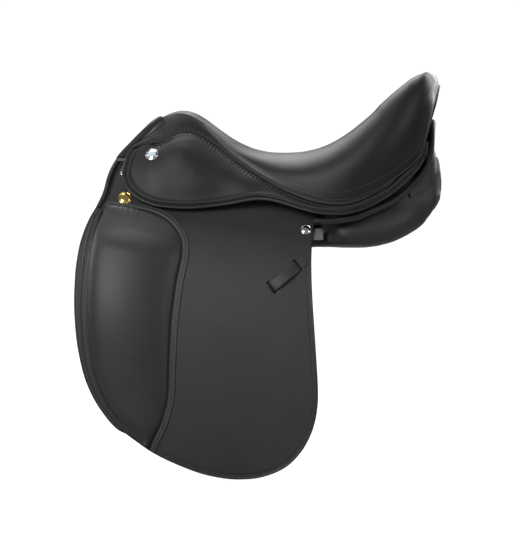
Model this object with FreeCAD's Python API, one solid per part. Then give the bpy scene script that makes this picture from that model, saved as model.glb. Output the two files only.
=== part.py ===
"""English dressage saddle, built as an assembly of separate pieces.

Row frame, in millimetres: +Z up, +X towards the cantle (the rear), the near side of the saddle is -Y.
The origin is on the middle plane, at the height of the flaps' lowest edge, midway along the saddle.
Side parts are sheets between half-width surfaces h(x, z); the right side is the mirror image of the left.
"""
import FreeCAD, Part
import math
import os

V = FreeCAD.Vector

# ---------------------------------------------------------------- driving dimensions (mm)
COVER_T = 2.2          # seat leather
FOAM_T = 11.0          # seat foam at its thickest
TREE_T = 7.0           # tree laminate
FLAP_T = 4.6           # flap leather
SKIRT_T = 5.6          # padded skirt
BLOCK_H = 19.0         # knee block above the flap
KEEPER_T = 2.6         # keeper strap
FLARE = 66.0           # how far the flap spreads below its fold
BAR_X, BAR_Z = -126.0, 470.0   # middle of the stirrup bar
BAR_STAND = 11.5       # clear height under the stirrup bar
PIN_X = 26.0           # catch pin behind the bar's middle
PIN_R = 1.6            # catch pin radius
STRAP_W = 25.0         # girth strap width
STRAP_XF, STRAP_XR = -78.0, -4.0   # girth strap stations
HOLE_R, HOLE_STEP, HOLE_N, HOLE_Z0 = 2.25, 22.0, 8, 66.0   # girth strap holes
FLAP_HINGE_F = (-242.0, 92.0, 407.0)   # fold line of the flap: front and rear (x, half-width, z)
FLAP_HINGE_R = (91.0, 124.0, 359.0)
SKIRT_HINGE_F = (-210.5, 68.0, 491.0)  # fold line of the skirt
SKIRT_HINGE_R = (3.0, 112.0, 417.0)

SHIFT = V(-0.2648, 0.0, -0.7201)  # sets the origin on the middle of the saddle's box, at its lowest edge

# ---------------------------------------------------------------- measured tables (mm)
SEAT_ROWS = [
    [(-151.39, 0, 552.59), (-152.3, 17, 550.61), (-154.24, 27, 548.6), (-155.83, 34, 546.63)],
    [(-134.22, 0, 560.71), (-134.36, 19, 558.57), (-136.28, 31, 555.64), (-138.36, 38, 552.42)],
    [(-115.49, 0, 563.21), (-115.66, 21, 560.93), (-117.59, 34.5, 557.74), (-119.69, 42, 554.79)],
    [(-96.76, 0, 557.59), (-96.98, 23, 554.59), (-98.16, 38, 550.25), (-99.51, 46, 547.29)],
    [(-74.91, 0, 543.23), (-75.2, 26, 539.83), (-76.43, 42.5, 534.53), (-78.58, 51, 529.11)],
    [(-49.94, 0, 524.03), (-50.34, 30, 520.07), (-51.64, 49, 512.58), (-53.82, 59, 506.67)],
    [(-21.85, 0, 507.96), (-22.43, 36, 503.67), (-23.83, 60, 495.09), (-26.06, 71, 484.44)],
    [(9.36, 0, 498.13), (9.26, 44, 494.31), (9.19, 74, 482.16), (6.11, 87, 462.95)],
    [(43.7, 0, 495.16), (44.65, 54, 492.45), (44.22, 92, 473.73), (41.03, 105, 443.69)],
    [(78.04, 0, 496.1), (81.35, 66, 496.95), (82.0, 108, 473.04), (77.25, 118, 427.78)],
    [(112.37, 0, 502.03), (120.89, 78, 514.43), (122.63, 120, 483.13), (116.39, 126, 419.37)],
    [(143.59, 0, 515.14), (157.3, 86, 541.64), (161.82, 124, 502.6), (154.22, 125, 426.65)],
    [(171.68, 0, 533.87), (189.27, 88, 570.37), (196.76, 121, 525.46), (187.97, 115, 442.12)],
    [(196.65, 0, 555.72), (217.02, 83, 594.09), (227.67, 110, 547.33), (217.66, 99, 462.78)],
    [(218.5, 0, 577.57), (236.85, 71, 609.08), (250.01, 93, 568.2), (233.54, 88, 475.73)],
    [(238.79, 0, 599.42), (253.02, 58, 615.46), (261.55, 80, 569.08), (239.12, 84, 481.71)],
    [(255.96, 0, 616.58), (266.13, 50, 611.47), (266.05, 73, 563.61), (242.79, 81.5, 485.65)],
    [(268.44, 0, 623.45), (275.38, 43, 601.49), (265.69, 70.5, 556.33), (244.72, 80, 488.01)],
    [(277.81, 0, 616.58), (277.27, 40, 592.57), (263.65, 68, 548.9), (246.35, 78.5, 492.67)],
    [(282.18, 0, 604.1), (274.5, 40, 583.13), (261.48, 66, 544.4), (247.66, 77, 497.33)],
]
BAND_LOW = [
    (-163.29, 52, 515.5),
    (-147.23, 53, 523.92),
    (-129.52, 53, 530.85),
    (-115.81, 53, 532.39),
    (-104.07, 54.5, 529.68),
    (-92.14, 57.5, 521.67),
    (-76.37, 62, 509.59),
    (-56.76, 68.5, 494.68),
    (-37.05, 76, 478.7),
    (-17.42, 84.5, 464.58),
    (1.98, 94, 452.61),
    (25.53, 105, 438.37),
    (45.8, 113, 427.94),
    (66.01, 119.5, 419.56),
    (86.18, 125, 413.35),
    (106.19, 128.5, 410.23),
    (126.39, 130, 410.19),
    (146.68, 128.5, 414.31),
    (167.11, 124, 423.51),
    (187.77, 116, 434.81),
    (195.7, 112, 439.5),
]
SEAM = [
    (-155.83, 34, 546.63),
    (-139.9, 38, 552.26),
    (-124.03, 41.3, 554.99),
    (-108.2, 44.3, 552.95),
    (-96.41, 46.5, 545.87),
    (-84.78, 49.5, 535.82),
    (-66.66, 54.5, 518.91),
    (-47.02, 61.5, 500.86),
    (-27.29, 70.3, 485.7),
    (-7.65, 80, 471.65),
    (11.75, 90, 459.48),
    (45.57, 107, 441.19),
    (66.09, 115, 431.82),
    (86.28, 120.5, 424.67),
    (106.29, 125, 420.0),
    (126.48, 127, 419.34),
    (146.77, 126, 424.2),
    (167.2, 122, 431.59),
    (187.81, 115, 441.97),
    (208.72, 104, 455.58),
    (229.85, 91, 472.55),
    (243.13, 81, 486.44),
]
SKIRT_LOW = [
    (-193.9, 56, 505.28),
    (-201.08, 60, 498.16),
    (-206.1, 64, 487.68),
    (-208.96, 68, 475.99),
    (-211.3, 73, 463.05),
    (-210.32, 77, 453.71),
    (-206.4, 81.5, 443.6),
    (-199.75, 86, 433.21),
    (-190.7, 90, 425.15),
    (-177.83, 94.5, 417.24),
    (-158.6, 99, 410.57),
    (-139.49, 101.5, 407.92),
    (-114.03, 103.5, 406.49),
    (-83.59, 105, 408.28),
    (-63.81, 106, 410.53),
    (-44.5, 107.5, 413.23),
    (-28.85, 109, 416.22),
    (-15.18, 110.5, 418.61),
    (-3.03, 112, 419.63),
    (15.16, 114.5, 418.19),
    (30.3, 117.5, 414.62),
    (45.41, 120.5, 409.99),
    (65.92, 125, 403.52),
    (86.1, 128.5, 398.75),
    (105.69, 130.5, 396.59),
    (126.35, 131, 396.88),
    (146.49, 129.5, 401.14),
    (167.03, 126, 409.09),
    (187.77, 119, 420.63),
    (208.47, 108.5, 435.06),
    (229.62, 95, 454.71),
    (246.64, 83.5, 474.1),
    (251.7, 78.5, 486.09),
]
SKIRT_MID = [
    (-114.35, 92.5, 466.09),
    (-114.64, 82.5, 497.07),
    (-114.14, 99.5, 435.36),
    (-168.07, 84, 466.43),
    (-167.71, 92.5, 435.59),
    (-188.61, 70, 482.34),
    (-188.11, 80.5, 454.34),
    (-61.01, 91, 466.15),
    (-60.86, 100.5, 435.33),
    (-22.81, 102.5, 442.87),
    (-179.77, 62, 501.14),
    (-145.53, 74, 497.48),
    (-84.02, 85, 481.67),
    (-137.13, 95, 443.13),
    (-91.34, 98.5, 447.57),
    (-42.66, 95.5, 453.78),
]
FLAP_FRONT = [
    (-244.26, 414.54),
    (-250.64, 401.99),
    (-256.25, 388.12),
    (-261.05, 371.26),
    (-265.08, 351.44),
    (-268.51, 327.17),
    (-270.8, 301.47),
    (-271.67, 275.85),
    (-271.72, 250.27),
    (-269.98, 220.22),
    (-266.79, 190.65),
    (-261.54, 161.7),
    (-252.71, 133.97),
    (-242.25, 113.31),
    (-228.19, 94.02),
    (-216.11, 80.14),
    (-202.53, 68.66),
    (-184.44, 55.58),
    (-165.92, 42.8),
]
FLAP_BOTTOM = [
    (-152.83, 35.4),
    (-137.8, 28.01),
    (-119.77, 20.49),
    (-101.76, 13.59),
    (-83.77, 7.88),
    (-64.29, 3.69),
    (-43.33, 1.01),
    (-22.4, 1.03),
    (-2.99, 3.12),
    (14.92, 8.18),
    (31.32, 15.32),
    (46.22, 25.71),
    (58.87, 39.21),
    (69.29, 54.92),
    (77.48, 72.83),
    (83.44, 94.43),
    (86.13, 118.23),
    (86.01, 142.02),
    (84.43, 171.75),
    (82.14, 208.93),
    (79.73, 246.16),
    (77.95, 279.02),
    (77.13, 313.52),
    (77.71, 343.72),
]
FLAP_REAR_TOP = [
    (78.95, 358.93),
    (81.58, 375.75),
    (84.49, 391.09),
    (87.04, 401.86),
]
SWEAT_FRONT = [
    (-228.63, 474.38),
    (-233.73, 461.82),
    (-237.15, 446.14),
    (-239.95, 436.74),
    (-243.27, 425.79),
    (-247.7, 416.43),
    (-254.88, 403.97),
    (-262.73, 388.49),
    (-269.08, 371.55),
    (-273.96, 354.7),
    (-277.35, 336.39),
    (-279.86, 316.62),
    (-281.04, 295.39),
    (-281.65, 271.17),
    (-280.95, 247.0),
    (-279.1, 222.85),
    (-276.07, 198.72),
    (-271.26, 174.6),
    (-264.8, 150.5),
    (-256.56, 130.18),
    (-247.43, 112.89),
    (-236.79, 97.11),
    (-225.41, 82.85),
    (-214.04, 72.37),
    (-203.43, 67.01),
]
PAD_BORDER = [
    (-245.01, 414.08),
    (-230.04, 414.07),
    (-213.63, 411.9),
    (-194.46, 409.1),
    (-173.91, 405.22),
    (-156.08, 399.19),
    (-140.95, 390.39),
    (-128.4, 378.09),
    (-120.13, 364.32),
    (-116.89, 349.85),
    (-117.47, 334.69),
    (-120.18, 319.57),
    (-124.09, 301.18),
    (-127.25, 281.03),
    (-129.83, 260.92),
    (-132.42, 238.44),
    (-133.84, 216.88),
    (-135.1, 190.99),
    (-135.94, 165.26),
    (-136.5, 139.68),
    (-138.73, 117.23),
    (-143.67, 96.56),
    (-150.43, 77.66),
    (-159.15, 60.38),
    (-165.92, 42.8),
]
PAD_FRONT = [
    (-239.5, 409.73),
    (-247.16, 389.65),
    (-253.36, 368.2),
    (-257.62, 343.84),
    (-260.48, 319.6),
    (-262.07, 295.44),
    (-262.53, 271.34),
    (-262.0, 247.28),
    (-260.29, 220.24),
    (-256.66, 191.73),
    (-250.96, 163.24),
    (-242.59, 137.01),
    (-232.74, 116.05),
    (-220.64, 97.36),
    (-207.06, 82.44),
    (-191.98, 69.78),
    (-178.42, 58.61),
]
KEEPER = {'slot1': [(12.17, 294.58), (22.51, 280.19)], 'slot2': [(51.51, 327.54), (62.11, 314.12)], 'point': [(57.09, 329.2), (70.53, 333.58), (64.87, 321.35)]}
STUD_GOLD = (-206.33, 423.23)
STUD_REAR = (69.74, 374.22)
STUD_POINT = (-206.62, 464.23)
STUD_SKIRT = (-165.32, 66, 489.89)
STRIP = [
    (84.65, 126, 387.32),
    (105.78, 127, 387.15),
    (126.47, 127.5, 389.1),
    (146.62, 126, 392.76),
    (167.2, 122, 401.48),
    (187.99, 114.5, 410.15),
    (208.66, 105, 422.11),
    (229.76, 92.5, 439.86),
    (246.93, 79, 458.99),
    (259.1, 66, 480.99),
    (263.74, 54, 503.08),
    (265.89, 38, 523.97),
    (268.03, 20, 538.94),
    (269.85, 0, 544.01),
]
RING = [
    (-218.19, 62, 483.47),
    (-208.86, 64, 483.38),
]
LOOP = [
    (87.24, 376.55),
    (95.33, 358.96),
]
PFACE = [
    (-153.73, 0, 551.81),
    (-156.3, 14, 549.4),
    (-162.77, 27, 543.95),
    (-171.68, 36, 534.91),
    (-185.23, 44, 521.33),
    (-198.02, 50.5, 507.87),
    (-208.54, 55.5, 496.07),
    (-216.76, 60, 485.87),
    (-223.4, 65, 474.89),
    (-228.51, 69.5, 463.19),
    (-232.35, 74.5, 449.98),
    (-235.54, 80, 436.01),
    (-239.83, 85, 423.62),
    (-245.62, 90, 411.27),
]

# ---------------------------------------------------------------- maths

def solve(A, B):
    """Gaussian elimination with partial pivoting."""
    n = len(A)
    M = [list(A[i]) + [B[i]] for i in range(n)]
    for i in range(n):
        p = max(range(i, n), key=lambda r: abs(M[r][i]))
        M[i], M[p] = M[p], M[i]
        d = M[i][i]
        for r in range(i + 1, n):
            f = M[r][i] / d
            if f:
                Mr, Mi = M[r], M[i]
                for c in range(i, n + 1):
                    Mr[c] -= f * Mi[c]
    x = [0.0] * n
    for i in range(n - 1, -1, -1):
        x[i] = (M[i][n] - sum(M[i][c] * x[c] for c in range(i + 1, n))) / M[i][i]
    return x


def spline(ts, ys):
    """Natural cubic spline through (ts, ys)."""
    n = len(ts)
    A = [[0.0] * n for _ in range(n)]
    B = [0.0] * n
    A[0][0] = A[-1][-1] = 1.0
    for i in range(1, n - 1):
        h0, h1 = ts[i] - ts[i - 1], ts[i + 1] - ts[i]
        A[i][i - 1], A[i][i], A[i][i + 1] = h0, 2 * (h0 + h1), h1
        B[i] = 6 * ((ys[i + 1] - ys[i]) / h1 - (ys[i] - ys[i - 1]) / h0)
    m = solve(A, B)

    def f(t):
        i = 0
        while i < n - 2 and t > ts[i + 1]:
            i += 1
        h = ts[i + 1] - ts[i]
        a, b = (ts[i + 1] - t), (t - ts[i])
        return (m[i] * a ** 3 + m[i + 1] * b ** 3) / (6 * h) + (ys[i] / h - m[i] * h / 6) * a + (ys[i + 1] / h - m[i + 1] * h / 6) * b
    return f


def thin_plate(pts, lam):
    """Smoothed thin-plate surface h(x, z) through scattered (x, h, z)."""
    n = len(pts)
    S = 100.0
    P = [(p[0] / S, p[2] / S) for p in pts]

    def U(a, b):
        r2 = (a[0] - b[0]) ** 2 + (a[1] - b[1]) ** 2
        return 0.0 if r2 < 1e-12 else 0.5 * r2 * math.log(r2)
    A = [[0.0] * (n + 3) for _ in range(n + 3)]
    B = [p[1] for p in pts] + [0.0] * 3
    for i in range(n):
        for j in range(n):
            A[i][j] = U(P[i], P[j]) + (lam if i == j else 0.0)
        A[i][n], A[i][n + 1], A[i][n + 2] = 1.0, P[i][0], P[i][1]
        A[n][i], A[n + 1][i], A[n + 2][i] = 1.0, P[i][0], P[i][1]
    w = solve(A, B)

    def f(x, z):
        q = (x / S, z / S)
        return w[n] + w[n + 1] * q[0] + w[n + 2] * q[1] + sum(w[i] * U(q, P[i]) for i in range(n))
    return f


def hinge_z(x):
    return FLAP_HINGE_F[2] + (FLAP_HINGE_R[2] - FLAP_HINGE_F[2]) * (x - FLAP_HINGE_F[0]) / (FLAP_HINGE_R[0] - FLAP_HINGE_F[0])


def hinge_h(x):
    return FLAP_HINGE_F[1] + (FLAP_HINGE_R[1] - FLAP_HINGE_F[1]) * (x - FLAP_HINGE_F[0]) / (FLAP_HINGE_R[0] - FLAP_HINGE_F[0])


def side(x, z):
    """Half-width of the flap's outer face at (x, z)."""
    d = hinge_z(x) - z
    if d > 0:
        return hinge_h(x) + FLARE * (1 - math.exp(-d / 106.0)) - 3.5e-5 * d * d
    return hinge_h(x) + 0.6226 * d + 0.0016 * d * d


def layer(off):
    return lambda x, z: side(x, z) + off


# ---------------------------------------------------------------- shape builders

def surf(grid):
    s = Part.BSplineSurface()
    s.interpolate(grid)
    return s


def to_solid(faces, name):
    for tol in (1e-6, 1e-4, 1e-3):
        sh = Part.Shell(faces)
        sh.sewShape(tol)
        shells = sh.Shells if sh.Shells else [sh]
        if len(shells) == 1 and shells[0].isClosed():
            so = Part.Solid(shells[0])
            if so.Volume < 0:
                so.reverse()
            return so
    raise RuntimeError("open shell in " + name)


def grid_slab(A, B, name):
    """Closed solid between two grids of points of the same size."""
    fa, fb = surf(A), surf(B)
    faces = [fa.toShape(), fb.toShape()]
    ua, va = fa.bounds()[0:2], fa.bounds()[2:4]
    ub, vb = fb.bounds()[0:2], fb.bounds()[2:4]
    pairs = [(fa.uIso(ua[0]), fb.uIso(ub[0])), (fa.uIso(ua[1]), fb.uIso(ub[1])),
             (fa.vIso(va[0]), fb.vIso(vb[0])), (fa.vIso(va[1]), fb.vIso(vb[1]))]
    for c, d in pairs:
        faces.append(Part.makeRuledSurface(c.toShape(), d.toShape(), 1))
    return to_solid(faces, name)


def outline_prism(segments, y0, y1):
    """Prism along Y over a closed outline in X-Z, given as smooth segments that meet at corners."""
    edges = []
    for seg in segments:
        pts = [V(p[0], y0, p[1]) for p in seg]
        if len(pts) == 2:
            edges.append(Part.makeLine(pts[0], pts[1]))
        else:
            c = Part.BSplineCurve()
            c.interpolate(pts)
            edges.append(c.toShape())
    w = Part.Wire(edges)
    return Part.Face(w).extrude(V(0, y1 - y0, 0))


def graph_slab(fo, fi, segments, name, step=14.0, margin=6.0):
    """Sheet between the half-width surfaces fo and fi (left side, y negative), trimmed to the outline."""
    xs = [p[0] for s in segments for p in s]
    zs = [p[1] for s in segments for p in s]
    x0, x1, z0, z1 = min(xs) - margin, max(xs) + margin, min(zs) - margin, max(zs) + margin
    nx, nz = max(4, int((x1 - x0) / step) + 1), max(4, int((z1 - z0) / step) + 1)
    A = [[V(x0 + (x1 - x0) * i / nx, -fo(x0 + (x1 - x0) * i / nx, z0 + (z1 - z0) * j / nz), z0 + (z1 - z0) * j / nz) for j in range(nz + 1)] for i in range(nx + 1)]
    B = [[V(p.x, -fi(p.x, p.z), p.z) for p in row] for row in A]
    slab = grid_slab(A, B, name)
    prism = outline_prism(segments, 20.0, -320.0)
    out = slab.common(prism)
    if not out.Solids:
        raise RuntimeError("empty " + name)
    return out.Solids[0] if len(out.Solids) == 1 else out


def mirror(s):
    return s.mirror(V(0, 0, 0), V(0, 1, 0))


def tube(path, r, name, start_up=None):
    """Round-section solid along a smooth path of points, ends flat."""
    c = Part.BSplineCurve()
    c.interpolate([V(*p) for p in path])
    w = Part.Wire([c.toShape()])
    t = c.tangent(c.FirstParameter)[0]
    circ = Part.Wire([Part.makeCircle(r, V(*path[0]), t)])
    ps = w.makePipeShell([circ], True, True)
    return ps.Solids[0] if ps.Solids else ps


def poly_face(pts):
    return Part.Face(Part.makePolygon(pts + [pts[0]]))


def frame_matrix(o, ax, ay, az):
    m = FreeCAD.Matrix(ax.x, ay.x, az.x, o.x, ax.y, ay.y, az.y, o.y, ax.z, ay.z, az.z, o.z, 0, 0, 0, 1)
    return m


def normal_at(f, x, z):
    """Outward unit normal of the left half-width surface y = -f(x, z)."""
    e = 0.5
    hx = (f(x + e, z) - f(x - e, z)) / (2 * e)
    hz = (f(x, z + e) - f(x, z - e)) / (2 * e)
    n = V(-hx, -1.0, -hz)
    n.normalize()
    return n


def local_frame(f, x, z):
    """Frame on the left side: origin on the surface, third axis outward, first axis rearwards along the surface."""
    n = normal_at(f, x, z)
    ax = V(1, 0, 0)
    ax = ax - n * ax.dot(n)
    ax.normalize()
    ay = n.cross(ax)
    return frame_matrix(V(x, -f(x, z), z), ax, ay, n)


def placed(shape, m):
    s = shape.copy()
    s.Placement = FreeCAD.Placement(m)
    return s


# ---------------------------------------------------------------- seat surface

def seat_grid(nu, nv, u0=0.0, u1=1.0, vmax=None):
    """Grid of points over the seat: rows run from head to cantle, columns from the left edge to the right edge."""
    full = []
    for r in SEAT_ROWS:
        C, R, M, E = r
        full.append([(E[0], -E[1], E[2]), (M[0], -M[1], M[2]), (R[0], -R[1], R[2]), (C[0], 0.0, C[2]), (R[0], R[1], R[2]), (M[0], M[1], M[2]), (E[0], E[1], E[2])])

    def dist(a, b):
        return math.sqrt(sum((a[k] - b[k]) ** 2 for k in range(3)))
    n = len(full)
    tv = [0.0]
    for j in range(6):
        tv.append(tv[-1] + sum(dist(full[i][j], full[i][j + 1]) for i in range(n)) / n)
    tv = [2 * t / tv[-1] - 1 for t in tv]
    tu = [0.0]
    for i in range(n - 1):
        tu.append(tu[-1] + sum(dist(full[i][j], full[i + 1][j]) for j in range(7)) / 7)
    tu = [t / tu[-1] for t in tu]
    cols = [[spline(tu, [full[i][j][k] for i in range(n)]) for k in range(3)] for j in range(7)]
    out = []
    for i in range(nu + 1):
        u = u0 + (u1 - u0) * i / nu
        pts = [[cols[j][k](u) for k in range(3)] for j in range(7)]
        fs = [spline(tv, [pts[j][k] for j in range(7)]) for k in range(3)]
        vm = 1.0 if vmax is None else vmax(u)
        row = []
        for j in range(nv + 1):
            v = vm * (2.0 * j / nv - 1)
            row.append([fs[0](v), fs[1](v), fs[2](v)])
        out.append(row)
    return out


def relax(G, n, amount=0.5):
    """Laplacian smoothing that holds the border."""
    nu, nv = len(G), len(G[0])
    for _ in range(n):
        H = [[list(p) for p in row] for row in G]
        for i in range(1, nu - 1):
            for j in range(1, nv - 1):
                for k in range(3):
                    m = (G[i - 1][j][k] + G[i + 1][j][k] + G[i][j - 1][k] + G[i][j + 1][k]) / 4
                    H[i][j][k] = G[i][j][k] + amount * (m - G[i][j][k])
        G = H
    return G


def normals(G, smooth=3):
    nu, nv = len(G), len(G[0])
    N = []
    for i in range(nu):
        row = []
        for j in range(nv):
            a, b = G[min(i + 1, nu - 1)][j], G[max(i - 1, 0)][j]
            c, d = G[i][min(j + 1, nv - 1)], G[i][max(j - 1, 0)]
            du = V(a[0] - b[0], a[1] - b[1], a[2] - b[2])
            dv = V(c[0] - d[0], c[1] - d[1], c[2] - d[2])
            x = du.cross(dv)
            if x.Length < 1e-9:
                x = V(0, 0, 1)
            x.normalize()
            row.append(x)
        N.append(row)
    for _ in range(smooth):
        M = []
        for i in range(nu):
            row = []
            for j in range(nv):
                s = N[i][j] * 2
                for a, b in ((i - 1, j), (i + 1, j), (i, j - 1), (i, j + 1)):
                    if 0 <= a < nu and 0 <= b < nv:
                        s = s + N[a][b]
                s.normalize()
                row.append(s)
            M.append(row)
        N = M
    return N


def lowered(G, N, off):
    """Grid moved inwards by off(i, j)."""
    return [[V(*G[i][j]) - N[i][j] * off(i, j) for j in range(len(G[0]))] for i in range(len(G))]


def as_v(G):
    return [[V(*p) for p in row] for row in G]


OUT = {}


def add(name, shape):
    if isinstance(shape, (list, tuple)):
        shape = Part.Compound(list(shape))
    OUT[name] = shape


def drill(names, centres, r, depth=30.0):
    """Round holes in already made pieces; centres are (point, direction)."""
    for n in names:
        s = OUT[n]
        for c, d in centres:
            s = s.cut(Part.makeCylinder(r, depth, c - d * (depth / 2.0), d))
        OUT[n] = s.Solids[0]


def flip(c, d):
    return V(c.x, -c.y, c.z), V(d.x, -d.y, d.z)


def both(name, shape):
    """Adds a left-hand shape and its mirror image."""
    add(name + "_left", shape)
    if isinstance(shape, (list, tuple)):
        add(name + "_right", [mirror(s) for s in shape])
    else:
        add(name + "_right", mirror(shape))


# ---------------------------------------------------------------- seat: cover, foam, webs, tree

NU, NV = 44, 28
G0 = relax(seat_grid(NU, NV), 3)
N0 = normals(G0)
# outward is up on the seat
if N0[NU // 3][NV // 2].z < 0:
    N0 = [[n * -1 for n in row] for row in N0]


def ease(a, b, t):
    t = max(0.0, min(1.0, (t - a) / (b - a)))
    return t * t * (3 - 2 * t)


def foam_bottom(i, j):
    u, v = i / NU, abs(2.0 * j / NV - 1)
    rim = max(ease(0.62, 0.85, u), ease(0.35, 0.75, v), 1 - ease(0.0, 0.12, u))
    return COVER_T + 0.3 + FOAM_T * (1 - rim) + 4.0 * rim


def sub(G, N, i0, i1, j0, j1):
    return [r[j0:j1 + 1] for r in G[i0:i1 + 1]], [r[j0:j1 + 1] for r in N[i0:i1 + 1]]


def seat_layer(name, a, b, i0=0, i1=NU, j0=0, j1=NV, smooth=2):
    """Slab between depths a(i, j) and b(i, j) below the seat's face."""
    A = lowered(G0, N0, a)
    B = lowered(G0, N0, b)
    A = relax([[[p.x, p.y, p.z] for p in r] for r in A], smooth)
    B = relax([[[p.x, p.y, p.z] for p in r] for r in B], smooth)
    A = as_v([r[j0:j1 + 1] for r in A[i0:i1 + 1]])
    B = as_v([r[j0:j1 + 1] for r in B[i0:i1 + 1]])
    return grid_slab(A, B, name)


add("seat_cover", seat_layer("seat_cover", lambda i, j: 0.0, lambda i, j: COVER_T, smooth=0))
add("seat_foam", seat_layer("seat_foam", lambda i, j: COVER_T + 0.3, foam_bottom, 1, NU - 2, 2, NV - 2, smooth=0))
webs = [seat_layer("web", lambda i, j: foam_bottom(i, j) + 0.4, lambda i, j: foam_bottom(i, j) + 1.8, i0, i0 + 3, 8, 20, smooth=0) for i0 in (15, 21)]
webs.append(seat_layer("web", lambda i, j: foam_bottom(i, j) + 2.3, lambda i, j: foam_bottom(i, j) + 3.7, 9, 31, 12, 16, smooth=0))
add("seat_webbing", webs)

tree_top = lambda i, j: foam_bottom(i, j) + 4.2
tree_bot = lambda i, j: foam_bottom(i, j) + 4.2 + (TREE_T if i < 30 else TREE_T - 2.0 * ease(30, 36, i))


def tree_grid(off):
    """The tree is narrower than the seat at the head and wide at the cantle."""
    P = lowered(G0, N0, off)
    rows = []
    for i in range(5, 37):
        u = i / NU
        keep = 0.50 + 0.22 * ease(0.12, 0.45, u)
        r = P[i]
        ts = [2.0 * j / NV - 1 for j in range(NV + 1)]
        fs = [spline(ts[::2], [getattr(p, k) for p in r][::2]) for k in ("x", "y", "z")]
        rows.append([V(fs[0](keep * (2.0 * j / 20 - 1)), fs[1](keep * (2.0 * j / 20 - 1)), fs[2](keep * (2.0 * j / 20 - 1))) for j in range(21)])
    return rows


tree = grid_slab(tree_grid(tree_top), tree_grid(tree_bot), "tree")
hole_pts = []
for k in range(24):
    a = 2 * math.pi * k / 24
    cx = 50.0 + 96.0 * math.copysign(abs(math.cos(a)) ** 0.8, math.cos(a))
    wy = (24.0 + 10.0 * (cx + 46) / 192) * math.copysign(abs(math.sin(a)) ** 0.8, math.sin(a))
    hole_pts.append(V(cx, wy, 380))
hc = Part.BSplineCurve()
hc.interpolate(hole_pts, PeriodicFlag=True)
tree = tree.cut(Part.Face(Part.Wire([hc.toShape()])).extrude(V(0, 0, 260)))
steel_hi = lambda i, j: tree_bot(i, j) + 0.5
steel_lo = lambda i, j: tree_bot(i, j) + 2.3
add("spring_steels", [seat_layer("steel", steel_hi, steel_lo, 11, 31, j0, j0 + 2, smooth=0) for j0 in (8, 18)])


# ---------------------------------------------------------------- head of the tree, steel plates

def arch_profile(x, zlow, base, n_side=8, n_top=9):
    """Half profile in Y-Z at station x, from the point's tip up to the middle of the head."""
    zt = 538.0 - 0.012 * (x + 116.0) ** 2 if x > -116 else 538.0 - 0.004 * (x + 116.0) ** 2
    zt = max(zt, 512.0)
    pts = [(side(x, zlow + (498.0 - zlow) * k / n_side) - base, zlow + (498.0 - zlow) * k / n_side) for k in range(n_side)]
    h5 = side(x, 498.0) - base
    for k in range(n_top + 1):
        a = math.pi / 2 * k / n_top
        pts.append((h5 * math.cos(a) ** 0.85 if k < n_top else 0.0, 498.0 + (zt - 498.0) * math.sin(a)))
    return pts


def offset_profile(pts, d):
    out = []
    n = len(pts)
    for i in range(n):
        a = pts[max(i - 1, 0)]
        b = pts[min(i + 1, n - 1)] if i < n - 1 else (-pts[n - 2][0], pts[n - 2][1])
        tx, tz = b[0] - a[0], b[1] - a[1]
        L = math.hypot(tx, tz)
        # outward is (tz, -tx)
        out.append((pts[i][0] - d * tz / L, pts[i][1] + d * tx / L))
    out[-1] = (0.0, out[-1][1])
    return out


def arch_slab(name, zlow, d0, d1, front, rear, rows=6, lift=0.0):
    """Arch between depths d0 and d1, whose front and rear limits run from the point's tip to the middle."""
    A, B = [], []
    n = len(arch_profile(-130, zlow, 9.5))
    for r in range(rows + 1):
        ra, rb = [], []
        for k in range(n):
            f = k / (n - 1)
            x = front(f) + (rear(f) - front(f)) * r / rows
            prof = arch_profile(x, zlow, 9.5)
            if lift:
                prof = [(h, z + lift) for h, z in prof]
            p, q = offset_profile(prof, d0)[k], offset_profile(prof, d1)[k]
            ra.append((x, p[0], p[1]))
            rb.append((x, q[0], q[1]))
        A.append([V(x, -h, z) for x, h, z in ra] + [V(x, h, z) for x, h, z in ra[-2::-1]])
        B.append([V(x, -h, z) for x, h, z in rb] + [V(x, h, z) for x, h, z in rb[-2::-1]])
    return grid_slab(A, B, name)


ff = spline([0, .15, .3, .45, .6, .8, 1.0], [-219, -221, -215, -202, -186, -160, -146])
fr = spline([0, .15, .3, .45, .6, .8, 1.0], [-182, -172, -132, -88, -80, -82, -86])
head = arch_slab("head_arch", 388.0, 0.0, 7.6, ff, fr)
gullet = arch_slab("gullet_plate", 402.0, 8.2, 11.2, lambda f: ff(f) + 9, lambda f: fr(f) - (9 if f > .35 else 14))
add("head_arch", head)
add("gullet_plate", gullet)
# the tree is let in round the head
seat_in = arch_slab("head seat", 420.0, -1.2, 8.0, lambda f: ff(f) - 3, lambda f: fr(f) + 1.0)
tree = tree.cut(seat_in)
tree = max(tree.Solids, key=lambda k: k.Volume)
add("tree", tree)

# rivets through head and plate, two a side and two at the middle
rivets = []
holes = []
for (x, z) in ((-196.0, 430.0), (-186.0, 462.0)):
    m = local_frame(layer(-9.5), x, z)
    r = Part.makeCylinder(2.4, 13.0, V(0, 0, -12.4)).fuse(Part.makeCylinder(4.6, 1.2, V(0, 0, 0.5)))
    r = placed(r.removeSplitter(), m)
    rivets += [r, mirror(r)]
    h = (m.multVec(V(0, 0, 0)), normal_at(layer(-9.5), x, z))
    holes += [h, flip(*h)]
add("head_rivets", rivets)
drill(["head_arch", "gullet_plate"], holes, 2.47)

# ---------------------------------------------------------------- stirrup bars

BX, BZ = BAR_X, BAR_Z
plate_out = [[(BX - 50, BZ - 11), (BX + 46, BZ - 11)], [(BX + 46, BZ - 11), (BX + 52, BZ - 4), (BX + 52, BZ + 4), (BX + 46, BZ + 11)], [(BX + 46, BZ + 11), (BX - 50, BZ + 11)], [(BX - 50, BZ + 11), (BX - 56, BZ + 4), (BX - 56, BZ - 4), (BX - 50, BZ - 11)]]
plate = graph_slab(layer(-6.2), layer(-9.0), plate_out, "plate", 10, 4)
both("stirrup_plate", plate)

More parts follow.
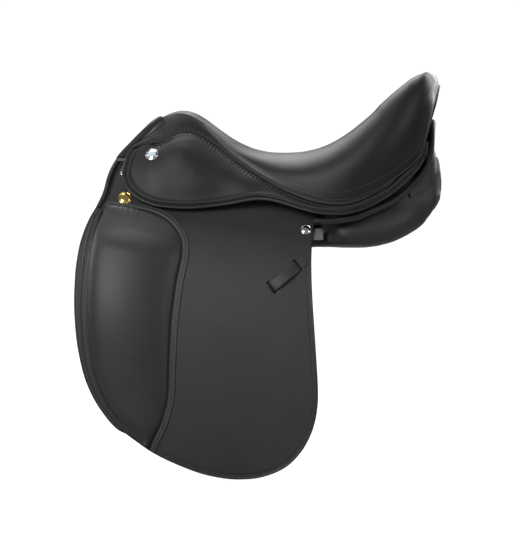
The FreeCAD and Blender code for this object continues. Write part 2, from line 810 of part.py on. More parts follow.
mb = local_frame(layer(-6.2), BX, BZ)
# bar in its own frame: first axis rearwards, third axis outwards


def rbox(x0, x1, y0, y1, z0, z1, r):
    b = Part.makeBox(x1 - x0, y1 - y0, z1 - z0, V(x0, y0, z0))
    return b.makeFillet(r, b.Edges)


BT = 6.0               # bar thickness
leg = rbox(-40, -30, -5.5, 5.5, 0.5, BAR_STAND + 5.0, 1.6)
arm = rbox(-40, PIN_X, -6.0, 6.0, BAR_STAND, BAR_STAND + BT, 1.6)
arm = arm.fuse(Part.makeBox(8, 12, BT, V(PIN_X - 8, -6, BAR_STAND))).fuse(Part.makeCylinder(6.0, BT, V(PIN_X, 0, BAR_STAND)))
bar = arm.fuse(leg)
# fork that takes the catch
SLOT = 2.9
zc = BAR_STAND + BT / 2
bar = bar.cut(Part.makeBox(20, 16, SLOT, V(PIN_X - 5.0, -8, zc - SLOT / 2)))
bar = bar.cut(Part.makeCylinder(PIN_R + 0.03, 20, V(PIN_X, 0, BAR_STAND - 6)))
bar = bar.removeSplitter()
both("stirrup_bar", placed(bar.Solids[0], mb))
pin = placed(Part.makeCylinder(PIN_R, BT - 0.4, V(PIN_X, 0, BAR_STAND + 0.2)), mb)
add("catch_pins", [pin, mirror(pin)])
# catch: flat lever on the pin, its thumb piece beyond the bar's end
catch = Part.makeCylinder(4.2, SLOT - 0.5, V(PIN_X, 0, zc - SLOT / 2 + 0.25))
catch = catch.fuse(Part.makeBox(9.0, 7.0, SLOT - 0.5, V(PIN_X, -3.5, zc - SLOT / 2 + 0.25)))
catch = catch.fuse(rbox(PIN_X + 6.8, PIN_X + 18.0, -4.6, 4.6, zc - 2.6, zc + 2.6, 1.4))
catch = catch.cut(Part.makeCylinder(PIN_R + 0.05, 20, V(PIN_X, 0, BAR_STAND - 6))).removeSplitter()
both("stirrup_catch", placed(catch.Solids[0], mb))
br, bh = [], []
for dx in (-22.0, 4.0, 38.0):
    mm = local_frame(layer(-6.2), BX + dx, BZ)
    c = Part.makeCylinder(2.2, 9.4, V(0, 0, -9.2)).fuse(Part.makeCone(4.2, 2.6, 1.1, V(0, 0, 0.2)))
    c = placed(c.removeSplitter(), mm)
    br += [c, mirror(c)]
    h = (mm.multVec(V(0, 0, 0)), normal_at(layer(-6.2), BX + dx, BZ))
    bh += [h, flip(*h)]
add("bar_rivets", br)
drill(["stirrup_plate_left", "stirrup_plate_right", "head_arch"], bh, 2.26)

# ---------------------------------------------------------------- flap

def line_z(x, d=0.0):
    return hinge_z(x) - d


GAP = 0.7
xa, xb = FLAP_FRONT[0][0], FLAP_REAR_TOP[0][0]
zf = line_z(xa + 0.5, GAP)
flap_front = [p for p in FLAP_FRONT if p[1] < zf - 2.0]
x_start = flap_front[0][0] - 3.0
x_end = FLAP_BOTTOM[-1][0] + 0.6
flap_curve = [(x_start, line_z(x_start, GAP))] + flap_front + FLAP_BOTTOM[:-1] + [FLAP_BOTTOM[-1], (x_end, line_z(x_end, GAP))]
flap = graph_slab(layer(0.0), layer(-FLAP_T), [flap_curve, [(x_end, line_z(x_end, GAP)), (x_start, line_z(x_start, GAP))]], "flap", 16)

# keeper slots
def slot_prism(a, b, w, y0=-100, y1=-260):
    L = math.hypot(b[0] - a[0], b[1] - a[1])
    ux, uz = (b[0] - a[0]) / L, (b[1] - a[1]) / L
    nx, nz = -uz, ux
    e = 1.2
    q = [(a[0] - ux * e - nx * w, a[1] - uz * e - nz * w), (b[0] + ux * e - nx * w, b[1] + uz * e - nz * w), (b[0] + ux * e + nx * w, b[1] + uz * e + nz * w), (a[0] - ux * e + nx * w, a[1] - uz * e + nz * w)]
    return poly_face([V(p[0], y0, p[1]) for p in q]).extrude(V(0, y1 - y0, 0))


flap = flap.cut(slot_prism(KEEPER['slot1'][0], KEEPER['slot1'][1], 1.9))
flap = flap.cut(slot_prism(KEEPER['slot2'][0], KEEPER['slot2'][1], 1.9)).Solids[0]
both("flap", flap)

top_front = [(-239.5, line_z(-239.5, -GAP)), (-235.0, 424.0), (-230.5, 440.0), (-225.0, 456.0), (-216.5, 474.0), (-205.0, 488.0), (-190.0, 499.0)]
top_edge = [(-190.0, 499.0), (-165.0, 504.5), (-130.0, 504.0), (-95.0, 497.0), (-60.0, 483.0), (-20.0, 461.0), (20.0, 435.0), (55.0, 417.0), (FLAP_REAR_TOP[3][0] - 1.0, 404.0)]
rear = [(FLAP_REAR_TOP[3][0] - 1.0, 404.0)] + FLAP_REAR_TOP[2::-1]
rear = [p for p in rear if p[1] > line_z(p[0], -GAP) + 1.0]
rear = rear + [(x_end, line_z(x_end, -GAP))]
flap_top = graph_slab(layer(0.0), layer(-FLAP_T), [top_front, top_edge, rear, [(x_end, line_z(x_end, -GAP)), top_front[0]]], "flap_top", 14)
# window for the stirrup bar's leg, small holes for the nails
flap_top = flap_top.cut(Part.makeBox(15, 200, 16, V(BX - 42.5, -200, BZ - 8)))
for x, z in (STUD_GOLD, STUD_REAR, STUD_POINT):
    n = normal_at(layer(0), x, z)
    flap_top = flap_top.cut(Part.makeCylinder(1.68, 30, V(x, -side(x, z), z) - n * 15, n))
both("flap_top", max(flap_top.Solids, key=lambda k: k.Volume))

# knee block on the flap's outer face
def pad_h(x, z):
    """Height of the block above the flap."""
    d = hinge_z(x) - z
    xf = pad_front(z)
    xr = pad_rear(z)
    w = max(1.0, xr - xf)
    t = (x - xf) / w
    t = max(0.0, min(1.0, t))
    across = (math.sin(math.pi * t ** 0.85)) ** 0.55 if 0 < t < 1 else 0.0
    along = ease(-4, 60, d) * (1 - 0.55 * ease(130, 345, d))
    return 1.2 + BLOCK_H * across * along


pf = [p for p in PAD_FRONT]
pf_z = [p[1] for p in reversed(pf)]
pf_x = [p[0] for p in reversed(pf)]
_pf = spline(pf_z, pf_x)
pb = [p for p in PAD_BORDER if p[1] < 392]
_pb = spline([p[1] for p in reversed(pb)], [p[0] for p in reversed(pb)])


def pad_front(z):
    return _pf(max(pf_z[0], min(pf_z[-1], z)))


def pad_rear(z):
    return _pb(max(pb[-1][1], min(pb[0][1], z)))


pf_low = [p for p in PAD_FRONT if p[1] < line_z(p[0], 9.0)]
pb_low = [p for p in PAD_BORDER if p[1] < line_z(p[0], 9.0)]
a0 = (pf_low[0][0] + 0.0, pf_low[0][1])
b0 = (pb_low[0][0] - 3.0, pb_low[0][1])
pad_segments = [pf_low, [pf_low[-1], (pb_low[-1][0] - 5.0, pb_low[-1][1] + 3.0)], [(pb_low[-1][0] - 5.0, pb_low[-1][1] + 3.0)] + [(p[0] - 1.5, p[1]) for p in pb_low[-2:0:-1]] + [b0], [b0, ((a0[0] + b0[0]) / 2, min(a0[1], line_z((a0[0] + b0[0]) / 2, 8.0))), a0]]
pad = graph_slab(lambda x, z: side(x, z) + 0.3 + pad_h(x, z), layer(0.3), pad_segments, "knee_block", 9)
both("knee_block", pad)

# stirrup leather keeper threaded through the two slots
def keeper_strap():
    s1 = KEEPER['slot1']
    s2 = KEEPER['slot2']
    c1 = ((s1[0][0] + s1[1][0]) / 2, (s1[0][1] + s1[1][1]) / 2)
    c2 = ((s2[0][0] + s2[1][0]) / 2, (s2[0][1] + s2[1][1]) / 2)
    L = math.hypot(c2[0] - c1[0], c2[1] - c1[1])
    ux, uz = (c2[0] - c1[0]) / L, (c2[1] - c1[1]) / L
    nx, nz = -uz, ux
    w = 0.5 * math.hypot(s1[0][0] - s1[1][0], s1[0][1] - s1[1][1]) - 0.6
    prof = [(-0.5, -3.2), (0.8, 2.2), (L * 0.25, 6.2), (L * 0.5, 7.4), (L * 0.75, 6.0), (L - 0.8, 2.2), (L + 0.5, -3.2)]
    A, B = [], []
    for (d, o) in prof:
        for lst, dd in ((A, 0.0), (B, -KEEPER_T)):
            row = []
            for k in (-1, -0.33, 0.33, 1):
                x, z = c1[0] + ux * d + nx * w * k, c1[1] + uz * d + nz * w * k
                sh = 0.0
                if dd and (d < 0):
                    sh = 1.7
                if dd and (d > L):
                    sh = -1.7
                row.append(V(x + ux * sh, -(side(x, z) + o + (dd if not sh else 0.0)), z + uz * sh))
            lst.append(row)
    return grid_slab(A, B, "keeper")


both("leather_keeper", keeper_strap())

# ---------------------------------------------------------------- under flap

sf = [p for p in SWEAT_FRONT if p[1] < 455]
uf_seg = [
    sf,
    [sf[-1], (-175, 62), (-120, 50), (-60, 48), (-10, 56), (30, 76), (52, 108), (62, 150)],
    [(62, 150), (66, 220), (64, 300), (60, 372)],
    [(60, 372), (20, 381), (-30, 388), (-72, 391)],
    [(-72, 391), (-84, 376), (-110, 370), (-170, 373), (-214, 378)],
    [(-214, 378), (-227, 389), (-233.5, 410), (-231, 434), (sf[0][0] + 7.0, sf[0][1])],
    [(sf[0][0] + 7.0, sf[0][1]), sf[0]],
]
under = graph_slab(layer(-15.6), layer(-18.8), uf_seg, "under_flap", 16)
both("under_flap", under)

# ---------------------------------------------------------------- girth straps and webs

def strap(xc, w, ztop, zbot, o0, o1, name, holes=(), point=True):
    hw = w / 2.0
    segs = [[(xc - hw, ztop), (xc - hw, zbot + 14)], [(xc - hw, zbot + 14), (xc - hw * 0.55, zbot + 4), (xc, zbot), (xc + hw * 0.55, zbot + 4), (xc + hw, zbot + 14)], [(xc + hw, zbot + 14), (xc + hw, ztop)], [(xc + hw, ztop), (xc + hw * 0.5, ztop + 2.2), (xc, ztop + 3.0), (xc - hw * 0.5, ztop + 2.2), (xc - hw, ztop)]]
    s = graph_slab(layer(o0), layer(o1), segs, name, 12, 3)
    for z in holes:
        n = normal_at(layer(o0), xc, z)
        c = V(xc, -(side(xc, z) + (o0 + o1) / 2), z)
        s = s.cut(Part.makeCylinder(HOLE_R, 24, c - n * 12, n))
    return s.Solids[0]


hole_z = [HOLE_Z0 + HOLE_STEP * k for k in range(HOLE_N)]
both("front_girth_strap", strap(STRAP_XF, STRAP_W, 362.0, 44.0, -8.2, -12.2, "strap", hole_z))
both("rear_girth_strap", strap(STRAP_XR, STRAP_W, 352.0, 44.0, -8.2, -12.2, "strap", hole_z))


def web(xc, w, z0, z1, o0, o1, name, lean=0.0):
    hw = w / 2.0
    segs = [[(xc - hw, z0), (xc + hw, z0)], [(xc + hw, z0), (xc + hw + lean, z1)], [(xc + hw + lean, z1), (xc - hw + lean, z1)], [(xc - hw + lean, z1), (xc - hw, z0)]]
    return graph_slab(layer(o0), layer(o1), segs, name, 10, 3)


both("front_strap_web", web(STRAP_XF, 24.0, 367.5, 448.0, -9.0, -11.0, "web"))
both("rear_strap_web", web(STRAP_XR, 24.0, 357.5, 428.0, -9.0, -11.0, "web"))

# ---------------------------------------------------------------- skirt and band

def scaled(p, k=1.0):
    return p


sk_pts = [(p[0], p[1], p[2]) for p in SEAM[:-1]] + list(BAND_LOW) + list(SKIRT_LOW) + list(SKIRT_MID)
skirt_f = thin_plate(sk_pts, 0.02)


def skirt_o(x, z):
    return skirt_f(x, z)


def skirt_i(x, z):
    e = 1.0
    hx = (skirt_f(x + e, z) - skirt_f(x - e, z)) / (2 * e)
    hz = (skirt_f(x, z + e) - skirt_f(x, z - e)) / (2 * e)
    return skirt_f(x, z) - SKIRT_T * math.sqrt(1 + hx * hx + hz * hz)


def fold_z(x, d=0.0):
    return SKIRT_HINGE_F[2] + (SKIRT_HINGE_R[2] - SKIRT_HINGE_F[2]) * (x - SKIRT_HINGE_F[0]) / (SKIRT_HINGE_R[0] - SKIRT_HINGE_F[0]) - d


low2 = [(p[0], p[2]) for p in SKIRT_LOW]
band2 = [(p[0], p[2]) for p in BAND_LOW]
seam2 = [(p[0], p[2]) for p in SEAM]
below = [p for p in low2 if p[1] < fold_z(p[0], 0.6) - 1.5 and p[0] < 10]
xs0 = below[0][0] + 0.9
xs1 = below[-1][0] + 5.0
skirt_seg = [[(xs0, fold_z(xs0, 0.6))] + below + [(xs1, fold_z(xs1, 0.6))], [(xs1, fold_z(xs1, 0.6)), (xs0, fold_z(xs0, 0.6))]]
both("skirt", graph_slab(skirt_o, skirt_i, skirt_seg, "skirt", 9, 5))

# fixed root of the skirt: under the band, the nailed front corner and the strip that runs back to the cantle
front_up = [p for p in low2[:6] if p[1] > fold_z(p[0], -0.6) + 1.0]
rear_low = [p for p in low2 if p[0] > xs1 + 5.0]
band_b = [(p[0], p[1] - 0.6) for p in band2]
root_seg = [
    [(front_up[0][0] + 1.0, front_up[0][1] + 1.0)] + front_up[1:] + [(xs0 - 0.2, fold_z(xs0 - 0.2, -0.6))],
    [(xs0 - 0.2, fold_z(xs0 - 0.2, -0.6)), (xs1 + 1.0, fold_z(xs1 + 1.0, -0.6))],
    [(xs1 + 1.0, fold_z(xs1 + 1.0, -0.6))] + rear_low[:-1] + [low2[-1]],
    [low2[-1], (246.0, 482.0), (240.5, 475.5), (227.0, 463.0), (208.0, 447.5), (band_b[-1][0] + 2.4, band_b[-1][1] - 0.6)],
    [(band_b[-1][0] + 2.4, band_b[-1][1] - 0.6)] + band_b[-2::-1],
    [band_b[0], (-171.0, 516.0), (front_up[0][0] + 1.0, front_up[0][1] + 1.0)],
]
root = graph_slab(skirt_o, skirt_i, root_seg, "skirt_root", 12, 5)
n = normal_at(skirt_o, STUD_SKIRT[0], STUD_SKIRT[2])
root = root.cut(Part.makeCylinder(1.68, 24, V(STUD_SKIRT[0], -skirt_o(STUD_SKIRT[0], STUD_SKIRT[2]), STUD_SKIRT[2]) - n * 12, n))
both("skirt_root", max(root.Solids, key=lambda k: k.Volume))

# welt band between seat and skirt
bt = [(p[0], p[1] - 2.9 - 1.4 * math.exp(-((p[0] + 92.0) / 48.0) ** 2)) for p in seam2 if p[0] < 200]
band_seg = [bt, [bt[-1], band2[-1]], band2[::-1], [band2[0], (-160.5, 534.5), bt[0]]]
both("seat_band", graph_slab(skirt_o, lambda x, z: skirt_o(x, z) - 3.2, band_seg, "seat_band", 10, 5))

# ---------------------------------------------------------------- cantle back, rear strip, pommel rolls

strip_path = [(p[0], -p[1], p[2]) for p in STRIP]
strip_full = strip_path[:-1] + [(STRIP[-1][0], 0.0, STRIP[-1][2])] + [(p[0], p[1], p[2]) for p in STRIP[-2::-1]]
add("rear_strip", tube(strip_full, 5.0, "rear_strip"))

# leather that closes the back of the cantle
arch_rows = []
W = [SEAT_ROWS[-1][k] for k in range(4)]
edge = [(W[0][0] - 3.0, 0.0, W[0][2] - 9.0), (W[1][0] - 3.0, W[1][1] * 0.94, W[1][2] - 7.5), (W[2][0] - 4.0, W[2][1] * 0.93, W[2][2] - 5.0), (W[3][0] - 7.0, W[3][1] * 0.90, W[3][2] - 6.0)]
ts = [0.0, 1.0, 2.0, 3.0]
fx = spline([-3, -2, -1, 0, 1, 2, 3], [edge[abs(k)][0] for k in range(-3, 4)])
fy = spline([-3, -2, -1, 0, 1, 2, 3], [math.copysign(edge[abs(k)][1], k) if k else 0.0 for k in range(-3, 4)])
fz = spline([-3, -2, -1, 0, 1, 2, 3], [edge[abs(k)][2] for k in range(-3, 4)])
A, B = [], []
for i in range(9):
    f = i / 8.0
    ra, rb = [], []
    for j in range(13):
        t = -3 + 6.0 * j / 12
        top = V(fx(t), fy(t), fz(t))
        bot = V(244.0 - 4.0 * abs(t) / 3, fy(t) * 0.98, 480.0 - 4.0 * abs(t) / 3)
        p = top * (1 - f) + bot * f
        p.x -= 5.0 * math.sin(math.pi * f)
        ra.append(p)
        rb.append(V(p.x - 2.5, p.y, p.z + 0.8))
    A.append(ra)
    B.append(rb)
add("cantle_back", grid_slab(A, B, "cantle_back"))

INSET = (0, 0, 0, 0, 1.0, 4.9, 8.6, 10.8, 8.2, 3.5, 0, 0, 0, 0)
PF = [(p[0] - (2.6 if k < 4 else 0.0), p[1] - INSET[k], p[2] - (1.6 if k < 4 else 0.0)) for k, p in enumerate(PFACE)]
pface = [(p[0], -p[1], p[2]) for p in reversed(PF[1:])] + [(PF[0][0], 0.0, PF[0][2])] + [(p[0], p[1], p[2]) for p in PF[1:]]
add("pommel_roll", tube(pface, 3.6, "pommel_roll"))

# second, thinner edge strip close behind the roll, one a side
half = tuple((PF[4][k] + PF[5][k]) / 2 for k in range(3))
strips = tube([(p[0] + 8.5, -(p[1] - 0.5), p[2] + 0.4) for p in PF[2:5] + [half]], 1.6, "edge strip")
add("pommel_strips", [strips, mirror(strips)])

# ---------------------------------------------------------------- panels

def P_front(x, zs, inner):
    """Eight points of a section whose outer wall follows the side of the saddle."""
    o = [(side(x, z) - 25.5, z) for z in zs]
    return o + inner


PANEL = [
    (-214.0, P_front(-214.0, (452, 405, 322), [(94, 313), (83, 327), (50, 392), (31, 436), (33, 449)])),
    (-160.0, P_front(-160.0, (462, 418, 316), [(100, 305), (87, 319), (47, 396), (31, 442), (33, 459)])),
    (-100.0, P_front(-100.0, (456, 412, 330), [(96, 322), (62, 352), (38, 395), (31, 438), (33, 455)])),
    (-40.0, P_front(-40.0, (440, 400, 338), [(89, 333), (48, 368), (34, 398), (31, 430), (41, 441)])),
    (20.0, P_front(20.0, (430, 397, 342), [(86, 340), (44, 376), (33, 402), (32, 424), (47, 433)])),
    (80.0, [(76, 414), (84, 392), (104, 350), (84, 346), (43, 380), (33, 404), (33, 426), (54, 430)]),
    (122.0, [(111, 384), (120, 367), (113, 351), (86, 350), (43, 382), (33, 406), (34, 432), (70, 426)]),
    (160.0, [(115, 389), (122, 370), (112, 352), (84, 352), (42, 386), (32, 410), (33, 438), (74, 430)]),
    (200.0, [(102, 402), (113, 380), (101, 357), (77, 358), (41, 392), (31, 416), (31, 450), (70, 444)]),
    (232.0, [(84, 424), (94, 400), (85, 375), (66, 377), (40, 402), (30, 428), (24, 464), (58, 468)]),
    (254.0, [(60, 456), (74, 422), (69, 396), (54, 396), (38, 414), (28, 440), (10, 466), (36, 478)]),
    (264.0, [(52, 470), (64, 440), (59, 406), (48, 406), (36, 421), (27, 448), (9, 474), (32, 490)]),
    (271.0, [(45, 472), (53, 448), (48, 424), (42, 422), (35, 431), (27, 452), (13, 474), (29, 488)]),
    (277.0, [(37, 468), (42, 455), (40, 442), (37, 439), (33, 443), (29, 453), (25, 465), (30, 471)]),
]


def closed_spline(pts, n):
    """Smooth closed curve through pts, resampled at n even steps."""
    m = len(pts)
    ext = pts[-3:] + pts + pts[:4]
    t = [0.0]
    for a, b in zip(ext, ext[1:]):
        t.append(t[-1] + math.hypot(a[0] - b[0], a[1] - b[1]))
    f0, f1 = spline(t, [p[0] for p in ext]), spline(t, [p[1] for p in ext])
    out = []
    for k in range(n):
        # even share of each span so that matching corners keep matching places
        q = 3 + m * k / float(n)
        i = int(q)
        s_ = t[i] + (t[i + 1] - t[i]) * (q - i)
        out.append((f0(s_), f1(s_)))
    return out


NP = 32
sec = [closed_spline(p, NP) for _, p in PANEL]
px = [x for x, _ in PANEL]
fh = [[spline(px, [sec[i][k][c] for i in range(len(px))]) for c in (0, 1)] for k in range(NP)]
stations = []
x = px[0]
while x < px[-1] - 1e-6:
    stations.append(x)
    x += 12.0 if x < 236 else (7.0 if x < 262 else 3.5)
stations.append(px[-1])


def panel_point(x, k):
    h, z = fh[k][0](x), fh[k][1](x)
    w = 1 - ease(100, 118, x)
    lim = side(x, z) - 22.0 - 5.0 * (1 - ease(-95, -65, x))
    if w > 0 and h > lim - 4:
        # soft limit under the side of the saddle
        over = h - (lim - 4)
        hl = lim - 4 * math.exp(-over / 4.0)
        h = hl * w + h * (1 - w)
    return V(x, -max(h, 31.0 if x < 235 else 6.0), z)


NO = 14
outer = [[panel_point(x, (k - 1) % NP) for k in range(0, NO)] for x in stations]
innr = [[panel_point(x, (k - 1) % NP) for k in range(NP - 1, NO, -1)] for x in stations]
# both halves with the same number of columns


def resample(row, n):
    t = [0.0]
    for a, b in zip(row, row[1:]):
        t.append(t[-1] + (a - b).Length)
    fs = [spline(t, [getattr(p, c) for p in row]) for c in ("x", "y", "z")]
    return [V(*[f(t[-1] * k / (n - 1.0)) for f in fs]) for k in range(n)]


outer = [resample(r, 12) for r in outer]
innr = [resample(r, 12) for r in innr]
both("panel", grid_slab(outer, innr, "panel"))

# channel lining between the two panels
A, B = [], []
for i in range(13):
    x = -140.0 + 380.0 * i / 12
    zz = 505.0 - 60.0 * ease(-140, -40, x) + 8.0 * ease(120, 240, x) - 8.0 * ease(0, 60, x)
    wx = 24.0
    A.append([V(x, wx * k / 2.0, zz - 3.0 * abs(k) / 2.0) for k in range(-2, 3)])
    B.append([V(x, wx * k / 2.0, zz - 3.0 * abs(k) / 2.0 - 2.0) for k in range(-2, 3)])
add("channel_lining", grid_slab(A, B, "channel_lining"))

# ---------------------------------------------------------------- nails, rings and loops

def nail(r, hgt, shank, name):
    """Domed nail head with a stepped rim, its shank behind it."""
    body = Part.makeCylinder(1.6, shank + 0.6, V(0, 0, -shank))
    body = body.fuse(Part.makeCylinder(r, 0.9, V(0, 0, 0.25)))
    a, z = r * 0.9, 1.15
    for k in range(1, 6):
        t = math.pi / 2 * k / 6
        b, top = r * 0.9 * math.cos(t), 1.15 + (hgt - 1.15) * math.sin(t)
        body = body.fuse(Part.makeCone(a, b, top - z, V(0, 0, z)))
        a, z = b, top
    return body.removeSplitter()


def nail_pair(name, r, hgt, shank, f, x, z):
    n = placed(nail(r, hgt, shank, name), local_frame(f, x, z))
    add(name, [n, mirror(n)])


nail_pair("front_nails", 10.6, 3.6, 6.0, layer(0.0), *STUD_GOLD)
nail_pair("upper_nails", 8.0, 2.3, 6.0, layer(0.0), *STUD_POINT)
nail_pair("rear_nails", 8.4, 3.2, 4.6, layer(0.0), *STUD_REAR)
nail_pair("skirt_nails", 10.3, 3.8, 5.0, skirt_o, STUD_SKIRT[0], STUD_SKIRT[2])

# folded web tab that looks out in front of the skirt
fl = [[(-218.6, 480.4), (-202.0, 480.4)], [(-202.0, 480.4), (-202.0, 485.2)], [(-202.0, 485.2), (-218.6, 485.2)], [(-218.6, 485.2), (-218.6, 480.4)]]
both("front_web_loop", graph_slab(layer(2.5), layer(0.7), fl, "front loop", 6, 3))

# web loop at the rear edge of the flap, seen past it
lx0, lz0, lz1 = 74.0, LOOP[0][1], LOOP[1][1]
lx1 = LOOP[1][0] + 0.5
loop_seg = [[(lx0, lz1), (lx1, lz1)], [(lx1, lz1), (lx1, lz0)], [(lx1, lz0), (lx0, lz0)], [(lx0, lz0), (lx0, lz1)]]
both("rear_web_loop", graph_slab(layer(-5.8), layer(-7.8), loop_seg, "loop", 6, 3))

# ---------------------------------------------------------------- write

if __name__ == "__main__":
    os.makedirs("parts", exist_ok=True)
    box = FreeCAD.BoundBox()
    for s in OUT.values():
        box.add(s.optimalBoundingBox(False))
    shift = V(-(box.XMin + box.XMax) / 2, -(box.YMin + box.YMax) / 2, -box.ZMin)
    print("shift", shift, "size", box.XLength, box.YLength, box.ZLength)
    for f in os.listdir("parts"):
        if f.endswith(".step"):
            os.remove(os.path.join("parts", f))
    for name in sorted(OUT):
        s = OUT[name]
        s.translate(SHIFT)
        bad = [k for k in s.Solids if not k.isValid() or k.Volume <= 0]
        print(name, "solids", len(s.Solids), "vol", round(sum(k.Volume for k in s.Solids)), "BAD" if bad or not s.Solids else "")
        s.exportStep("parts/" + name + ".step")
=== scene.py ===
import math

import bmesh
import bpy
import numpy as np
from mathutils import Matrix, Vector
from mathutils.geometry import delaunay_2d_cdt

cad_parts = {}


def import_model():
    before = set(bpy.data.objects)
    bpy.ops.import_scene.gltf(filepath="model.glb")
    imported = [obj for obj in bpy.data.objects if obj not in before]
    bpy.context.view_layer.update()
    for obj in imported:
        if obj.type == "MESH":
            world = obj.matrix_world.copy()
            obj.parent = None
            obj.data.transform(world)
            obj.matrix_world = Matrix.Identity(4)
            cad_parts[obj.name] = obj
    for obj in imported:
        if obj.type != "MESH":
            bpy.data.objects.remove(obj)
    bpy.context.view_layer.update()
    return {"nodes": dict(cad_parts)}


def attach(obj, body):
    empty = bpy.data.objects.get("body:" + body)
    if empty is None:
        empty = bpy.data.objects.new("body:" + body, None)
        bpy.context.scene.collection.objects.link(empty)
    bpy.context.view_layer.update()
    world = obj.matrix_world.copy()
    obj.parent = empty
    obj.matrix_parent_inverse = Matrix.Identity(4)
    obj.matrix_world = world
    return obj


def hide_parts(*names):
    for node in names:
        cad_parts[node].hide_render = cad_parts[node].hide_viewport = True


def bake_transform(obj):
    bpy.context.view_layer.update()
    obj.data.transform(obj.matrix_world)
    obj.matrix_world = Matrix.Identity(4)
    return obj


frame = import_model()

# ---- driving dimensions, the same as the solids' (mm) ----
COVER_T = 2.2
FLAP_T = 4.6
SKIRT_T = 5.6
BLOCK_H = 19.0
FLARE = 66.0
FLAP_HINGE_F = (-242.0, 92.0, 407.0)
FLAP_HINGE_R = (91.0, 124.0, 359.0)
SKIRT_HINGE_F = (-210.5, 68.0, 491.0)
SKIRT_HINGE_R = (3.0, 112.0, 417.0)
SHIFT = np.array([-0.2648, 0.0, -0.7201])

SEAT_ROWS = [
    [(-151.39, 0, 552.59), (-152.3, 17, 550.61), (-154.24, 27, 548.6), (-155.83, 34, 546.63)],
    [(-134.22, 0, 560.71), (-134.36, 19, 558.57), (-136.28, 31, 555.64), (-138.36, 38, 552.42)],
    [(-115.49, 0, 563.21), (-115.66, 21, 560.93), (-117.59, 34.5, 557.74), (-119.69, 42, 554.79)],
    [(-96.76, 0, 557.59), (-96.98, 23, 554.59), (-98.16, 38, 550.25), (-99.51, 46, 547.29)],
    [(-74.91, 0, 543.23), (-75.2, 26, 539.83), (-76.43, 42.5, 534.53), (-78.58, 51, 529.11)],
    [(-49.94, 0, 524.03), (-50.34, 30, 520.07), (-51.64, 49, 512.58), (-53.82, 59, 506.67)],
    [(-21.85, 0, 507.96), (-22.43, 36, 503.67), (-23.83, 60, 495.09), (-26.06, 71, 484.44)],
    [(9.36, 0, 498.13), (9.26, 44, 494.31), (9.19, 74, 482.16), (6.11, 87, 462.95)],
    [(43.7, 0, 495.16), (44.65, 54, 492.45), (44.22, 92, 473.73), (41.03, 105, 443.69)],
    [(78.04, 0, 496.1), (81.35, 66, 496.95), (82.0, 108, 473.04), (77.25, 118, 427.78)],
    [(112.37, 0, 502.03), (120.89, 78, 514.43), (122.63, 120, 483.13), (116.39, 126, 419.37)],
    [(143.59, 0, 515.14), (157.3, 86, 541.64), (161.82, 124, 502.6), (154.22, 125, 426.65)],
    [(171.68, 0, 533.87), (189.27, 88, 570.37), (196.76, 121, 525.46), (187.97, 115, 442.12)],
    [(196.65, 0, 555.72), (217.02, 83, 594.09), (227.67, 110, 547.33), (217.66, 99, 462.78)],
    [(218.5, 0, 577.57), (236.85, 71, 609.08), (250.01, 93, 568.2), (233.54, 88, 475.73)],
    [(238.79, 0, 599.42), (253.02, 58, 615.46), (261.55, 80, 569.08), (239.12, 84, 481.71)],
    [(255.96, 0, 616.58), (266.13, 50, 611.47), (266.05, 73, 563.61), (242.79, 81.5, 485.65)],
    [(268.44, 0, 623.45), (275.38, 43, 601.49), (265.69, 70.5, 556.33), (244.72, 80, 488.01)],
    [(277.81, 0, 616.58), (277.27, 40, 592.57), (263.65, 68, 548.9), (246.35, 78.5, 492.67)],
    [(282.18, 0, 604.1), (274.5, 40, 583.13), (261.48, 66, 544.4), (247.66, 77, 497.33)],
]
BAND_LOW = [
    (-163.29, 52, 515.5),
    (-147.23, 53, 523.92),
    (-129.52, 53, 530.85),
    (-115.81, 53, 532.39),
    (-104.07, 54.5, 529.68),
    (-92.14, 57.5, 521.67),
    (-76.37, 62, 509.59),
    (-56.76, 68.5, 494.68),
    (-37.05, 76, 478.7),
    (-17.42, 84.5, 464.58),
    (1.98, 94, 452.61),
    (25.53, 105, 438.37),
    (45.8, 113, 427.94),
    (66.01, 119.5, 419.56),
    (86.18, 125, 413.35),
    (106.19, 128.5, 410.23),
    (126.39, 130, 410.19),
    (146.68, 128.5, 414.31),
    (167.11, 124, 423.51),
    (187.77, 116, 434.81),
    (195.7, 112, 439.5),
]
SEAM = [
    (-155.83, 34, 546.63),
    (-139.9, 38, 552.26),
    (-124.03, 41.3, 554.99),
    (-108.2, 44.3, 552.95),
    (-96.41, 46.5, 545.87),
    (-84.78, 49.5, 535.82),
    (-66.66, 54.5, 518.91),
    (-47.02, 61.5, 500.86),
    (-27.29, 70.3, 485.7),
    (-7.65, 80, 471.65),
    (11.75, 90, 459.48),
    (45.57, 107, 441.19),
    (66.09, 115, 431.82),
    (86.28, 120.5, 424.67),
    (106.29, 125, 420.0),
    (126.48, 127, 419.34),
    (146.77, 126, 424.2),
    (167.2, 122, 431.59),
    (187.81, 115, 441.97),
    (208.72, 104, 455.58),
    (229.85, 91, 472.55),
    (243.13, 81, 486.44),
]
